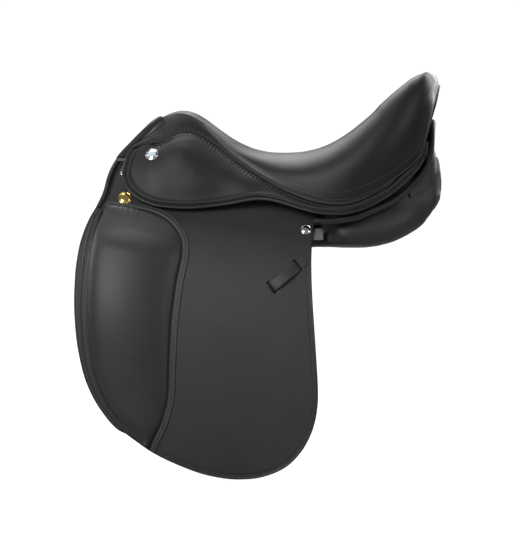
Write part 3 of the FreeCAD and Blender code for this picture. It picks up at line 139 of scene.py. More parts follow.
SKIRT_LOW = [
    (-193.9, 56, 505.28),
    (-201.08, 60, 498.16),
    (-206.1, 64, 487.68),
    (-208.96, 68, 475.99),
    (-211.3, 73, 463.05),
    (-210.32, 77, 453.71),
    (-206.4, 81.5, 443.6),
    (-199.75, 86, 433.21),
    (-190.7, 90, 425.15),
    (-177.83, 94.5, 417.24),
    (-158.6, 99, 410.57),
    (-139.49, 101.5, 407.92),
    (-114.03, 103.5, 406.49),
    (-83.59, 105, 408.28),
    (-63.81, 106, 410.53),
    (-44.5, 107.5, 413.23),
    (-28.85, 109, 416.22),
    (-15.18, 110.5, 418.61),
    (-3.03, 112, 419.63),
    (15.16, 114.5, 418.19),
    (30.3, 117.5, 414.62),
    (45.41, 120.5, 409.99),
    (65.92, 125, 403.52),
    (86.1, 128.5, 398.75),
    (105.69, 130.5, 396.59),
    (126.35, 131, 396.88),
    (146.49, 129.5, 401.14),
    (167.03, 126, 409.09),
    (187.77, 119, 420.63),
    (208.47, 108.5, 435.06),
    (229.62, 95, 454.71),
    (246.64, 83.5, 474.1),
    (251.7, 78.5, 486.09),
]
SKIRT_MID = [
    (-114.35, 92.5, 466.09),
    (-114.64, 82.5, 497.07),
    (-114.14, 99.5, 435.36),
    (-168.07, 84, 466.43),
    (-167.71, 92.5, 435.59),
    (-188.61, 70, 482.34),
    (-188.11, 80.5, 454.34),
    (-61.01, 91, 466.15),
    (-60.86, 100.5, 435.33),
    (-22.81, 102.5, 442.87),
    (-179.77, 62, 501.14),
    (-145.53, 74, 497.48),
    (-84.02, 85, 481.67),
    (-137.13, 95, 443.13),
    (-91.34, 98.5, 447.57),
    (-42.66, 95.5, 453.78),
]
FLAP_FRONT = [
    (-244.26, 414.54),
    (-250.64, 401.99),
    (-256.25, 388.12),
    (-261.05, 371.26),
    (-265.08, 351.44),
    (-268.51, 327.17),
    (-270.8, 301.47),
    (-271.67, 275.85),
    (-271.72, 250.27),
    (-269.98, 220.22),
    (-266.79, 190.65),
    (-261.54, 161.7),
    (-252.71, 133.97),
    (-242.25, 113.31),
    (-228.19, 94.02),
    (-216.11, 80.14),
    (-202.53, 68.66),
    (-184.44, 55.58),
    (-165.92, 42.8),
]
FLAP_BOTTOM = [
    (-152.83, 35.4),
    (-137.8, 28.01),
    (-119.77, 20.49),
    (-101.76, 13.59),
    (-83.77, 7.88),
    (-64.29, 3.69),
    (-43.33, 1.01),
    (-22.4, 1.03),
    (-2.99, 3.12),
    (14.92, 8.18),
    (31.32, 15.32),
    (46.22, 25.71),
    (58.87, 39.21),
    (69.29, 54.92),
    (77.48, 72.83),
    (83.44, 94.43),
    (86.13, 118.23),
    (86.01, 142.02),
    (84.43, 171.75),
    (82.14, 208.93),
    (79.73, 246.16),
    (77.95, 279.02),
    (77.13, 313.52),
    (77.71, 343.72),
]
FLAP_REAR_TOP = [
    (78.95, 358.93),
    (81.58, 375.75),
    (84.49, 391.09),
    (87.04, 401.86),
]
SWEAT_FRONT = [
    (-228.63, 474.38),
    (-233.73, 461.82),
    (-237.15, 446.14),
    (-239.95, 436.74),
    (-243.27, 425.79),
    (-247.7, 416.43),
    (-254.88, 403.97),
    (-262.73, 388.49),
    (-269.08, 371.55),
    (-273.96, 354.7),
    (-277.35, 336.39),
    (-279.86, 316.62),
    (-281.04, 295.39),
    (-281.65, 271.17),
    (-280.95, 247.0),
    (-279.1, 222.85),
    (-276.07, 198.72),
    (-271.26, 174.6),
    (-264.8, 150.5),
    (-256.56, 130.18),
    (-247.43, 112.89),
    (-236.79, 97.11),
    (-225.41, 82.85),
    (-214.04, 72.37),
    (-203.43, 67.01),
]
PAD_BORDER = [
    (-245.01, 414.08),
    (-230.04, 414.07),
    (-213.63, 411.9),
    (-194.46, 409.1),
    (-173.91, 405.22),
    (-156.08, 399.19),
    (-140.95, 390.39),
    (-128.4, 378.09),
    (-120.13, 364.32),
    (-116.89, 349.85),
    (-117.47, 334.69),
    (-120.18, 319.57),
    (-124.09, 301.18),
    (-127.25, 281.03),
    (-129.83, 260.92),
    (-132.42, 238.44),
    (-133.84, 216.88),
    (-135.1, 190.99),
    (-135.94, 165.26),
    (-136.5, 139.68),
    (-138.73, 117.23),
    (-143.67, 96.56),
    (-150.43, 77.66),
    (-159.15, 60.38),
    (-165.92, 42.8),
]
PAD_FRONT = [
    (-239.5, 409.73),
    (-247.16, 389.65),
    (-253.36, 368.2),
    (-257.62, 343.84),
    (-260.48, 319.6),
    (-262.07, 295.44),
    (-262.53, 271.34),
    (-262.0, 247.28),
    (-260.29, 220.24),
    (-256.66, 191.73),
    (-250.96, 163.24),
    (-242.59, 137.01),
    (-232.74, 116.05),
    (-220.64, 97.36),
    (-207.06, 82.44),
    (-191.98, 69.78),
    (-178.42, 58.61),
]
KEEPER = {'slot1': [(12.17, 294.58), (22.51, 280.19)], 'slot2': [(51.51, 327.54), (62.11, 314.12)], 'point': [(57.09, 329.2), (70.53, 333.58), (64.87, 321.35)]}
STUD_GOLD = (-206.33, 423.23)
STUD_REAR = (69.74, 374.22)
STUD_POINT = (-206.62, 464.23)
STUD_SKIRT = (-165.32, 66, 489.89)
STRIP = [
    (84.65, 126, 387.32),
    (105.78, 127, 387.15),
    (126.47, 127.5, 389.1),
    (146.62, 126, 392.76),
    (167.2, 122, 401.48),
    (187.99, 114.5, 410.15),
    (208.66, 105, 422.11),
    (229.76, 92.5, 439.86),
    (246.93, 79, 458.99),
    (259.1, 66, 480.99),
    (263.74, 54, 503.08),
    (265.89, 38, 523.97),
    (268.03, 20, 538.94),
    (269.85, 0, 544.01),
]
RING = [
    (-218.19, 62, 483.47),
    (-208.86, 64, 483.38),
]
LOOP = [
    (87.24, 376.55),
    (95.33, 358.96),
]
PFACE = [
    (-153.73, 0, 551.81),
    (-156.3, 14, 549.4),
    (-162.77, 27, 543.95),
    (-171.68, 36, 534.91),
    (-185.23, 44, 521.33),
    (-198.02, 50.5, 507.87),
    (-208.54, 55.5, 496.07),
    (-216.76, 60, 485.87),
    (-223.4, 65, 474.89),
    (-228.51, 69.5, 463.19),
    (-232.35, 74.5, 449.98),
    (-235.54, 80, 436.01),
    (-239.83, 85, 423.62),
    (-245.62, 90, 411.27),
]

# ---------------------------------------------------------------- maths

def nspline(t, y):
    """Natural cubic spline through (t, y); y may hold several columns."""
    t = np.asarray(t, float)
    y = np.asarray(y, float)
    one = y.ndim == 1
    Y = y.reshape(len(t), -1)
    n = len(t)
    A = np.zeros((n, n))
    B = np.zeros_like(Y)
    A[0, 0] = A[-1, -1] = 1
    for i in range(1, n - 1):
        h0, h1 = t[i] - t[i - 1], t[i + 1] - t[i]
        A[i, i - 1:i + 2] = h0, 2 * (h0 + h1), h1
        B[i] = 6 * ((Y[i + 1] - Y[i]) / h1 - (Y[i] - Y[i - 1]) / h0)
    m = np.linalg.solve(A, B)

    def f(q):
        q = np.atleast_1d(np.asarray(q, float))
        i = np.clip(np.searchsorted(t, q) - 1, 0, n - 2)
        h = (t[i + 1] - t[i])[:, None]
        a, b = (t[i + 1] - q)[:, None], (q - t[i])[:, None]
        out = (m[i] * a ** 3 + m[i + 1] * b ** 3) / (6 * h) + (Y[i] / h - m[i] * h / 6) * a + (Y[i + 1] / h - m[i + 1] * h / 6) * b
        return out[:, 0] if one else out.reshape((len(q),) + y.shape[1:])
    return f


def thin_plate(pts, lam):
    P = np.array([(p[0], p[2]) for p in pts]) / 100.0
    h = np.array([p[1] for p in pts])
    n = len(P)

    def U(a, b):
        r2 = ((a[:, None, :] - b[None, :, :]) ** 2).sum(-1)
        return np.where(r2 < 1e-12, 0.0, 0.5 * r2 * np.log(np.maximum(r2, 1e-12)))
    A = np.zeros((n + 3, n + 3))
    A[:n, :n] = U(P, P) + lam * np.eye(n)
    A[:n, n] = A[n, :n] = 1
    A[:n, n + 1:] = P
    A[n + 1:, :n] = P.T
    w = np.linalg.solve(A, np.concatenate([h, np.zeros(3)]))

    def f(x, z):
        x = np.asarray(x, float)
        s = x.shape
        q = np.stack([x.ravel(), np.asarray(z, float).ravel()], 1) / 100.0
        return (w[n] + q @ w[n + 1:] + U(q, P) @ w[:n]).reshape(s)
    return f


def sstep(a, b, t):
    t = np.clip((np.asarray(t, float) - a) / (b - a), 0, 1)
    return t * t * (3 - 2 * t)


def hinge_z(x):
    return FLAP_HINGE_F[2] + (FLAP_HINGE_R[2] - FLAP_HINGE_F[2]) * (x - FLAP_HINGE_F[0]) / (FLAP_HINGE_R[0] - FLAP_HINGE_F[0])


def hinge_h(x):
    return FLAP_HINGE_F[1] + (FLAP_HINGE_R[1] - FLAP_HINGE_F[1]) * (x - FLAP_HINGE_F[0]) / (FLAP_HINGE_R[0] - FLAP_HINGE_F[0])


def side(x, z):
    d = hinge_z(x) - z
    down = FLARE * (1 - np.exp(-np.maximum(d, 0) / 106.0)) - 3.5e-5 * d * d
    up = 0.6226 * d + 0.0016 * d * d
    return hinge_h(x) + np.where(d > 0, down, up)


_rng = np.random.RandomState(7)
_lat = _rng.rand(24, 24, 24)


def vnoise(p):
    """Smooth value noise in 0..1 at points p (n, 3)."""
    i = np.floor(p).astype(int)
    f = p - i
    f = f * f * (3 - 2 * f)
    out = 0
    for a in (0, 1):
        for b in (0, 1):
            for c in (0, 1):
                w = (f[..., 0] if a else 1 - f[..., 0]) * (f[..., 1] if b else 1 - f[..., 1]) * (f[..., 2] if c else 1 - f[..., 2])
                out = out + w * _lat[(i[..., 0] + a) % 24, (i[..., 1] + b) % 24, (i[..., 2] + c) % 24]
    return out


def fbm(x, y, z, s, octaves=3):
    p = np.stack([np.asarray(x, float) / s, np.asarray(y, float) / s, np.asarray(z, float) / s], -1)
    v, a, t = 0, 1.0, 0
    for _ in range(octaves):
        v = v + a * (vnoise(p) - 0.5)
        t += a
        a *= 0.5
        p = p * 2.03 + 7.1
    return v / t


def arclen(P):
    return np.concatenate([[0], np.cumsum(np.linalg.norm(np.diff(P, axis=0), axis=1))])


def smooth_path(pts, step):
    """Even points along a spline through pts (n, k)."""
    P = np.asarray(pts, float)
    s = arclen(P)
    fs = [nspline(s, P[:, k]) for k in range(P.shape[1])]
    q = np.linspace(0, s[-1], max(3, int(s[-1] * 4)))
    D = np.stack([f(q) for f in fs], 1)
    s2 = arclen(D)
    n = max(2, int(round(s2[-1] / step)))
    e = np.linspace(0, s2[-1], n + 1)
    return np.stack([np.interp(e, s2, D[:, k]) for k in range(P.shape[1])], 1)


def even_path(P, step=None, n=None):
    P = np.asarray(P, float)
    s = arclen(P)
    if n is None:
        n = max(2, int(round(s[-1] / step)))
    e = np.linspace(0, s[-1], n + 1)
    return np.stack([np.interp(e, s, P[:, k]) for k in range(P.shape[1])], 1)


def closed_outline(segments, step, rounding=2):
    """Closed loop of even points from smooth segments that meet at corners; corners eased slightly."""
    L = []
    for seg in segments:
        S = smooth_path(seg, 1.0) if len(seg) > 2 else even_path(seg, 1.0)
        L.append(S[:-1])
    P = np.concatenate(L)
    C = np.concatenate([P, P[:1]])
    E = even_path(C, step)[:-1]
    for _ in range(rounding):
        E = 0.5 * E + 0.25 * (np.roll(E, 1, 0) + np.roll(E, -1, 0))
    return E


def dist_to(P, L):
    """Distance of points P (n, 2) to the open polyline L (m, 2), and arc length of the nearest point."""
    A, B = L[:-1], L[1:]
    D = B - A
    s = arclen(L)
    out = np.full(len(P), 1e9)
    at = np.zeros(len(P))
    for k0 in range(0, len(P), 4000):
        Q = P[k0:k0 + 4000]
        t = ((Q[:, None, :] - A[None]) * D[None]).sum(-1) / np.maximum((D ** 2).sum(-1), 1e-12)[None]
        t = np.clip(t, 0, 1)
        X = A[None] + t[..., None] * D[None]
        d = np.sqrt(((Q[:, None, :] - X) ** 2).sum(-1))
        i = d.argmin(1)
        r = np.arange(len(Q))
        out[k0:k0 + 4000] = d[r, i]
        at[k0:k0 + 4000] = s[i] + t[r, i] * (s[i + 1] - s[i])
    return out, at


# ---------------------------------------------------------------- mesh builders (mm in, metres out)

def world(P):
    return (np.asarray(P, float) + SHIFT) / 1000.0


def mesh_object(name, verts, faces, smooth=True, weld=0.0):
    me = bpy.data.meshes.new(name)
    me.from_pydata([tuple(v) for v in verts], [], faces)
    me.update()
    if weld:
        bm = bmesh.new()
        bm.from_mesh(me)
        bmesh.ops.remove_doubles(bm, verts=bm.verts, dist=weld)
        bmesh.ops.dissolve_degenerate(bm, edges=bm.edges, dist=1e-7)
        bmesh.ops.recalc_face_normals(bm, faces=bm.faces)
        bm.to_mesh(me)
        bm.free()
    if smooth:
        me.polygons.foreach_set("use_smooth", [True] * len(me.polygons))
    o = bpy.data.objects.new(name, me)
    bpy.context.scene.collection.objects.link(o)
    return o


def mirrored(o, name):
    me = o.data.copy()
    me.name = name
    n = len(me.vertices)
    co = np.zeros(n * 3, np.float32)
    me.vertices.foreach_get("co", co)
    co = co.reshape(-1, 3)
    co[:, 1] *= -1
    me.vertices.foreach_set("co", co.ravel())
    me.flip_normals()
    me.update()
    m = bpy.data.objects.new(name, me)
    bpy.context.scene.collection.objects.link(m)
    return m


def grid_faces(nr, nc, closed_c=False, closed_r=False, base=0):
    f = []
    rr = nr if closed_r else nr - 1
    cc = nc if closed_c else nc - 1
    for i in range(rr):
        i2 = (i + 1) % nr
        for j in range(cc):
            j2 = (j + 1) % nc
            f.append((base + i * nc + j, base + i * nc + j2, base + i2 * nc + j2, base + i2 * nc + j))
    return f


def ring_mesh(name, rings, weld=0.00002):
    """Closed skin through a list of equal rings (each n x 3, mm); first and last rings collapse on a line."""
    n = len(rings[0])
    V = np.concatenate([world(r) for r in rings])
    return mesh_object(name, V, grid_faces(len(rings), n, closed_c=True), weld=weld)


def loop_normals(E, smooth=3):
    """Unit normals of loop E that point inwards."""
    T = np.roll(E, -1, 0) - np.roll(E, 1, 0)
    N = np.stack([T[:, 1], -T[:, 0]], 1)
    N /= np.linalg.norm(N, axis=1)[:, None]
    area = 0.5 * np.sum(E[:, 0] * np.roll(E[:, 1], -1) - np.roll(E[:, 0], -1) * E[:, 1])
    if area > 0:
        N = -N
    for _ in range(smooth):
        N = 0.5 * N + 0.25 * (np.roll(N, 1, 0) + np.roll(N, -1, 0))
        N /= np.linalg.norm(N, axis=1)[:, None]
    return N


BAND = (0.5, 1.1, 1.8, 2.6, 3.4, 4.2, 5.0, 6.0, 7.2, 8.6, 10.2, 12.0)


def sheet(name, E, spine, outer, thick, edge=None, band=BAND, inner=14, back_rings=6, detail=None, back=None):
    """Leather sheet on the left side. E: closed outline (x, z). spine: polyline the middle of the sheet closes on.
    outer(x, z): half-width of its face; detail(x, z, d): extra height, d = distance from the edge."""
    r = edge if edge is not None else thick / 2.0
    N = loop_normals(E)
    S = even_path(spine, 1.0)
    _, at = dist_to(E, S)
    # neighbours close on neighbouring points
    s = arclen(S)
    for _ in range(12):
        at = 0.5 * at + 0.25 * (np.roll(at, 1) + np.roll(at, -1))
    T = np.stack([np.interp(at, s, S[:, k]) for k in (0, 1)], 1)
    D = np.linalg.norm(T - E, axis=1)
    u = (T - E) / D[:, None]
    c = np.maximum((u * N).sum(1), 0.35)
    dmax = r + band[-1]
    reach = np.minimum(dmax / c, 0.8 * D)

    def at_depth(d):
        k = (d / dmax) * reach
        # near the rim straight in, further on towards the spine
        w = min(1.0, d / dmax)
        return E + (N * (1 - w) * np.minimum(k, d)[:, None] + u * w * k[:, None])
    phi = np.linspace(0, math.pi, 7)
    ds = [r - r * math.sin(p) for p in phi]
    last = at_depth(dmax)
    bands = [at_depth(r + b) for b in band[:-1]] + [last]
    inn = [last * (1 - f) + T * f for f in np.linspace(0, 1, inner + 1)[1:]]
    Lp = np.concatenate([E, E[:1]])
    rings = []
    for q in inn[::-1] + bands[::-1]:
        h = outer(q[:, 0], q[:, 1])
        if detail is not None:
            h = h + detail(q[:, 0], q[:, 1], dist_to(q, Lp)[0])
        rings.append(np.stack([q[:, 0], -h, q[:, 1]], 1))
    for k in range(len(phi)):
        q = at_depth(ds[k]) if ds[k] > 1e-9 else E.copy()
        h = outer(q[:, 0], q[:, 1])
        dd = detail(q[:, 0], q[:, 1], np.full(len(q), ds[k])) if detail is not None else 0
        tt = thick if back is None else np.maximum(h - back(q[:, 0], q[:, 1]), 0.8)
        cc = math.cos(phi[k])
        rings.append(np.stack([q[:, 0], -(h - tt / 2.0 + cc * tt / 2.0 + dd * (0.5 + 0.5 * cc)), q[:, 1]], 1))
    for q in [bands[min(5, len(bands) - 2)], last] + [last * (1 - f) + T * f for f in np.linspace(0, 1, back_rings + 1)[1:]]:
        h = (outer(q[:, 0], q[:, 1]) - thick) if back is None else back(q[:, 0], q[:, 1])
        rings.append(np.stack([q[:, 0], -h, q[:, 1]], 1))
    return ring_mesh(name, rings)


def ribbon(name, A, B, outer, thick, w, r=None, detail=None, end=2.0, left=True):
    """Sheet between two matched edge lines A and B (n, 2). w: distances in from A (mm) that rows follow, then even rows to B.
    detail(x, z, da, db, s) adds height; s = arc length along A."""
    r = thick / 2.0 if r is None else r
    n = len(A)
    W = B - A
    L = np.linalg.norm(W, axis=1)
    U = W / np.maximum(L, 1e-6)[:, None]
    s = arclen(A)
    near, many = w
    rows = []
    tail = r + near[-1] if len(near) else r
    for d in [r + v for v in near]:
        rows.append(np.minimum(d, 0.45 * L * d / max(tail, 1e-6)))
    lo = rows[-1] if rows else np.minimum(np.full(n, r), 0.45 * L)
    hi = np.maximum(L - r, lo + 0.02)
    for f in np.linspace(0, 1, many + 1)[1:]:
        rows.append(lo * (1 - f) + hi * f)
    tf = np.ones(n)
    for k in range(n):
        e = min(s[k], s[-1] - s[k])
        tf[k] = math.sqrt(max(0.0, 1 - (1 - min(1.0, e / end)) ** 2))

    def row(k, c, extra=1.0):
        q = A + U * k[:, None]
        h = outer(q[:, 0], q[:, 1])
        dd = detail(q[:, 0], q[:, 1], k, L - k, s) if detail is not None else 0
        return np.stack([q[:, 0], -(h - thick / 2.0 + (c * thick / 2.0 + dd * extra) * tf), q[:, 1]], 1)
    cols = []
    for p in np.linspace(math.pi, 0, 7):
        cols.append(row(np.minimum(r - r * math.sin(p), 0.45 * L), math.cos(p), 0.5 + 0.5 * math.cos(p)))
    for k in rows[:-1]:
        cols.append(row(k, 1.0))
    for p in np.linspace(0, math.pi, 6):
        k = np.maximum(L - (r - r * math.sin(p)), rows[-2] if len(rows) > 1 else 0)
        cols.append(row(k, math.cos(p), 0.5 + 0.5 * math.cos(p)))
    for f in (0.75, 0.5, 0.25):
        cols.append(row(lo * (1 - f) + hi * f, -1.0, 0.0))
    G = np.stack(cols, 1)
    V = world(G.reshape(-1, 3))
    m = G.shape[1]
    F = grid_faces(n, m, closed_c=True)
    F.append(tuple(range(m))[::-1])
    F.append(tuple((n - 1) * m + j for j in range(m)))
    return mesh_object(name, V, F, weld=0.00002)


def bulge(q, p=0.6):
    return np.sin(np.pi * np.clip(q, 0, 1)) ** p


def pucker(d, s, amp=0.5, pitch=5.2, reach=6.0, groove=0.8, gw=1.4):
    """Gathers that run out from a sewn line: d = distance from it, s = arc length along it."""
    return amp * np.exp(-(d / reach) ** 2) * (1 - np.exp(-(d / 1.2) ** 2)) * np.cos(2 * np.pi * s / pitch + 1.5 * np.sin(s / 23.0)) - groove * np.exp(-(d / gw) ** 2)


def tube_mesh(name, path, ra, rb=None, up=(0, 0, 1), seg=16, taper=1.0, closed=False, roll=None):
    """Elliptic tube along path (n x 3, mm), half-sizes ra (along the side vector) and rb (along up), ends rounded."""
    P = np.asarray(path, float)
    rb = ra if rb is None else rb
    n = len(P)
    ra = np.broadcast_to(np.asarray(ra, float), (n,)).copy()
    rb = np.broadcast_to(np.asarray(rb, float), (n,)).copy()
    T = np.gradient(P, axis=0)
    T /= np.linalg.norm(T, axis=1)[:, None]
    U = np.broadcast_to(np.asarray(up, float), P.shape)
    B = np.cross(T, U)
    B /= np.linalg.norm(B, axis=1)[:, None]
    U = np.cross(B, T)
    a = np.linspace(0, 2 * math.pi, seg, endpoint=False)
    rings = []

    def ring(c, t, b, u, A, Bb):
        return c + np.cos(a)[:, None] * b * A + np.sin(a)[:, None] * u * Bb
    if not closed:
        for p in np.linspace(0, math.pi / 2, 5)[:-1]:
            k = math.sin(p)
            rings.append(ring(P[0] - T[0] * max(ra[0], rb[0]) * math.cos(p) * taper, T[0], B[0], U[0], max(ra[0] * k, 1e-4), max(rb[0] * k, 1e-4)))
    for i in range(n):
        rings.append(ring(P[i], T[i], B[i], U[i], ra[i], rb[i]))
    if not closed:
        for p in np.linspace(math.pi / 2, 0, 5)[1:]:
            k = math.sin(p)
            rings.append(ring(P[-1] + T[-1] * max(ra[-1], rb[-1]) * math.cos(p) * taper, T[-1], B[-1], U[-1], max(ra[-1] * k, 1e-4), max(rb[-1] * k, 1e-4)))
    return rings


def tube_object(name, path, ra, rb=None, up=(0, 0, 1), seg=16, taper=1.0):
    rings = tube_mesh(name, path, ra, rb, up, seg, taper)
    V = np.concatenate([world(r) for r in rings])
    return mesh_object(name, V, grid_faces(len(rings), seg, closed_c=True), weld=0.00001)


_cap = None


def stitches(name, path, normal, length=3.2, gap=1.5, r=0.42, lift=0.15, tilt=0.16, sink=0.25):
    """Row of thread stitches along path (n x 3, mm) lying on the surface whose outward normals are given (n x 3)."""
    P = np.asarray(path, float)
    N = np.asarray(normal, float)
    s = arclen(P)
    pitch = length + gap
    n = int(s[-1] // pitch)
    seg, sec = 7, 6
    t = np.linspace(-1, 1, seg)
    prof = np.sqrt(np.maximum(1 - (np.abs(t) ** 3.0), 0)) * r + 1e-3
    a = np.linspace(0, 2 * math.pi, sec, endpoint=False)
    V, F = [], []
    for k in range(n):
        c = (k + 0.5) * pitch
        p = np.array([np.interp(c, s, P[:, j]) for j in range(3)])
        q0 = np.array([np.interp(c - length / 2, s, P[:, j]) for j in range(3)])
        q1 = np.array([np.interp(c + length / 2, s, P[:, j]) for j in range(3)])
        u = np.array([np.interp(c, s, N[:, j]) for j in range(3)])
        u /= np.linalg.norm(u)
        d = q1 - q0
        d /= np.linalg.norm(d)
        b = np.cross(u, d)
        b /= np.linalg.norm(b)
        d2 = d * math.cos(tilt) + b * math.sin(tilt)
        b2 = np.cross(u, d2)
        base = len(V)
        for i in range(seg):
            o = p + d2 * t[i] * length / 2 + u * (lift - sink * t[i] ** 2 * 1.6)
            for j in range(sec):
                V.append(o + b2 * math.cos(a[j]) * prof[i] + u * math.sin(a[j]) * prof[i])
        for i in range(seg - 1):
            for j in range(sec):
                j2 = (j + 1) % sec
                F.append((base + i * sec + j, base + i * sec + j2, base + (i + 1) * sec + j2, base + (i + 1) * sec + j))
        F.append(tuple(base + j for j in range(sec))[::-1])
        F.append(tuple(base + (seg - 1) * sec + j for j in range(sec)))
    return mesh_object(name, world(np.array(V)), F)


def surf_normals(f, Q):
    e = 0.6
    hx = (f(Q[:, 0] + e, Q[:, 1]) - f(Q[:, 0] - e, Q[:, 1])) / (2 * e)
    hz = (f(Q[:, 0], Q[:, 1] + e) - f(Q[:, 0], Q[:, 1] - e)) / (2 * e)
    N = np.stack([-hx, -np.ones(len(Q)), -hz], 1)
    return N / np.linalg.norm(N, axis=1)[:, None]


def stitch_on(name, Q, f, lift=0.15, **k):
    """Stitches along the x-z path Q on the face y = -f(x, z)."""
    Q = even_path(Q, 1.0)
    N = surf_normals(f, Q)
    P = np.stack([Q[:, 0], -f(Q[:, 0], Q[:, 1]), Q[:, 1]], 1)
    return stitches(name, P, N, lift=lift, **k)


# ---------------------------------------------------------------- materials

def new_mat(name):
    m = bpy.data.materials.new(name)
    m.use_nodes = True
    nt = m.node_tree
    nt.nodes.clear()
    out = nt.nodes.new("ShaderNodeOutputMaterial")
    b = nt.nodes.new("ShaderNodeBsdfPrincipled")
    nt.links.new(b.outputs[0], out.inputs[0])
    tc = nt.nodes.new("ShaderNodeTexCoord")
    return m, nt, b, tc.outputs["Object"]


def tex_noise(nt, co, scale, detail=4.0, rough=0.6, dist=0.0):
    n = nt.nodes.new("ShaderNodeTexNoise")
    n.inputs["Scale"].default_value = scale
    n.inputs["Detail"].default_value = detail
    n.inputs["Roughness"].default_value = rough
    n.inputs["Distortion"].default_value = dist
    nt.links.new(co, n.inputs["Vector"])
    return n.outputs["Fac"]


def tex_cells(nt, co, scale, feature="F1", rand=1.0):
    n = nt.nodes.new("ShaderNodeTexVoronoi")
    n.feature = feature
    n.inputs["Scale"].default_value = scale
    n.inputs["Randomness"].default_value = rand
    nt.links.new(co, n.inputs["Vector"])
    return n.outputs["Distance"]


def ramp(nt, fac, stops):
    r = nt.nodes.new("ShaderNodeValToRGB")
    el = r.color_ramp.elements
    el[0].position, el[0].color = stops[0][0], (*stops[0][1], 1)
    el[1].position, el[1].color = stops[-1][0], (*stops[-1][1], 1)
    for p, c in stops[1:-1]:
        e = el.new(p)
        e.color = (*c, 1)
    nt.links.new(fac, r.inputs[0])
    return r.outputs[0]


def maprange(nt, v, a, b, c, d):
    n = nt.nodes.new("ShaderNodeMapRange")
    for k, x in zip(("From Min", "From Max", "To Min", "To Max"), (a, b, c, d)):
        n.inputs[k].default_value = x
    nt.links.new(v, n.inputs["Value"])
    return n.outputs[0]


def mathn(nt, op, a, b=None, c=None):
    n = nt.nodes.new("ShaderNodeMath")
    n.operation = op
    for k, v in enumerate((a, b, c)):
        if v is None:
            continue
        if isinstance(v, (int, float)):
            n.inputs[k].default_value = v
        else:
            nt.links.new(v, n.inputs[k])
    return n.outputs[0]


def bump(nt, height, strength, dist, prev=None):
    n = nt.nodes.new("ShaderNodeBump")
    n.inputs["Strength"].default_value = strength
    n.inputs["Distance"].default_value = dist
    nt.links.new(height, n.inputs["Height"])
    if prev is not None:
        nt.links.new(prev, n.inputs["Normal"])
    return n.outputs[0]


def leather(name, base, rough=0.46, grain=850.0, grain_amt=0.35, crease=0.25, sheen=0.0, spec=0.5, edge=0.5, coat=0.0):
    m, nt, b, co = new_mat(name)
    big = tex_noise(nt, co, 14.0, 3.0, 0.55)
    mid = tex_noise(nt, co, 120.0, 4.0, 0.6)
    cells = tex_cells(nt, co, grain, "DISTANCE_TO_EDGE")
    cells2 = tex_cells(nt, co, grain * 0.43, "DISTANCE_TO_EDGE")
    pores = tex_noise(nt, co, grain * 1.6, 2.0, 0.5)
    lo = tuple(c * 0.80 for c in base)
    hi = tuple(c * 1.18 for c in base)
    col = ramp(nt, mathn(nt, "ADD", mathn(nt, "MULTIPLY", big, 0.7), mathn(nt, "MULTIPLY", mid, 0.3)), [(0.3, lo), (0.5, base), (0.72, hi)])
    # worn, lighter convex edges
    geo = nt.nodes.new("ShaderNodeNewGeometry")
    worn = maprange(nt, geo.outputs["Pointiness"], 0.52, 0.62, 0.0, edge)
    mix = nt.nodes.new("ShaderNodeMix")
    mix.data_type = "RGBA"
    nt.links.new(mathn(nt, "MULTIPLY", worn, mid), mix.inputs["Factor"])
    nt.links.new(col, mix.inputs["A"])
    mix.inputs["B"].default_value = (*[min(1, c * 2.4 + 0.01) for c in base], 1)
    nt.links.new(mix.outputs["Result"], b.inputs["Base Color"])
    rr = mathn(nt, "ADD", mathn(nt, "MULTIPLY", big, 0.16), mathn(nt, "MULTIPLY", mid, 0.10))
    nt.links.new(mathn(nt, "ADD", rr, rough - 0.13), b.inputs["Roughness"])
    b.inputs["Specular IOR Level"].default_value = spec
    if sheen:
        b.inputs["Sheen Weight"].default_value = sheen
        b.inputs["Sheen Roughness"].default_value = 0.5
    if coat:
        b.inputs["Coat Weight"].default_value = coat
        b.inputs["Coat Roughness"].default_value = 0.32
    g = mathn(nt, "ADD", mathn(nt, "MULTIPLY", maprange(nt, cells, 0.0, 0.12, 0.0, 1.0), 0.6), mathn(nt, "MULTIPLY", maprange(nt, cells2, 0.0, 0.10, 0.0, 1.0), 0.5))
    n1 = bump(nt, g, grain_amt, 0.00025)
    n2 = bump(nt, pores, 0.12, 0.0002, n1)
    n3 = bump(nt, tex_noise(nt, co, 42.0, 3.0, 0.6, 0.6), crease, 0.0016, n2)
    nt.links.new(n3, b.inputs["Normal"])
    return m


def metal(name, base, rough=0.2, brushed=0.0):
    m, nt, b, co = new_mat(name)
    b.inputs["Metallic"].default_value = 1.0
    n = tex_noise(nt, co, 380.0, 3.0, 0.6)
    col = ramp(nt, n, [(0.3, tuple(c * 0.9 for c in base)), (0.7, base)])
    nt.links.new(col, b.inputs["Base Color"])
    nt.links.new(maprange(nt, n, 0.2, 0.8, rough * 0.7, rough * 1.4), b.inputs["Roughness"])
    if brushed:
        mp = nt.nodes.new("ShaderNodeMapping")
        mp.inputs["Scale"].default_value = (60, 60, 1500)
        nt.links.new(co, mp.inputs["Vector"])
        s = tex_noise(nt, mp.outputs[0], 1.0, 2.0, 0.5)
        nt.links.new(bump(nt, s, brushed, 0.0003), b.inputs["Normal"])
    else:
        nt.links.new(bump(nt, n, 0.04, 0.0003), b.inputs["Normal"])
    return m


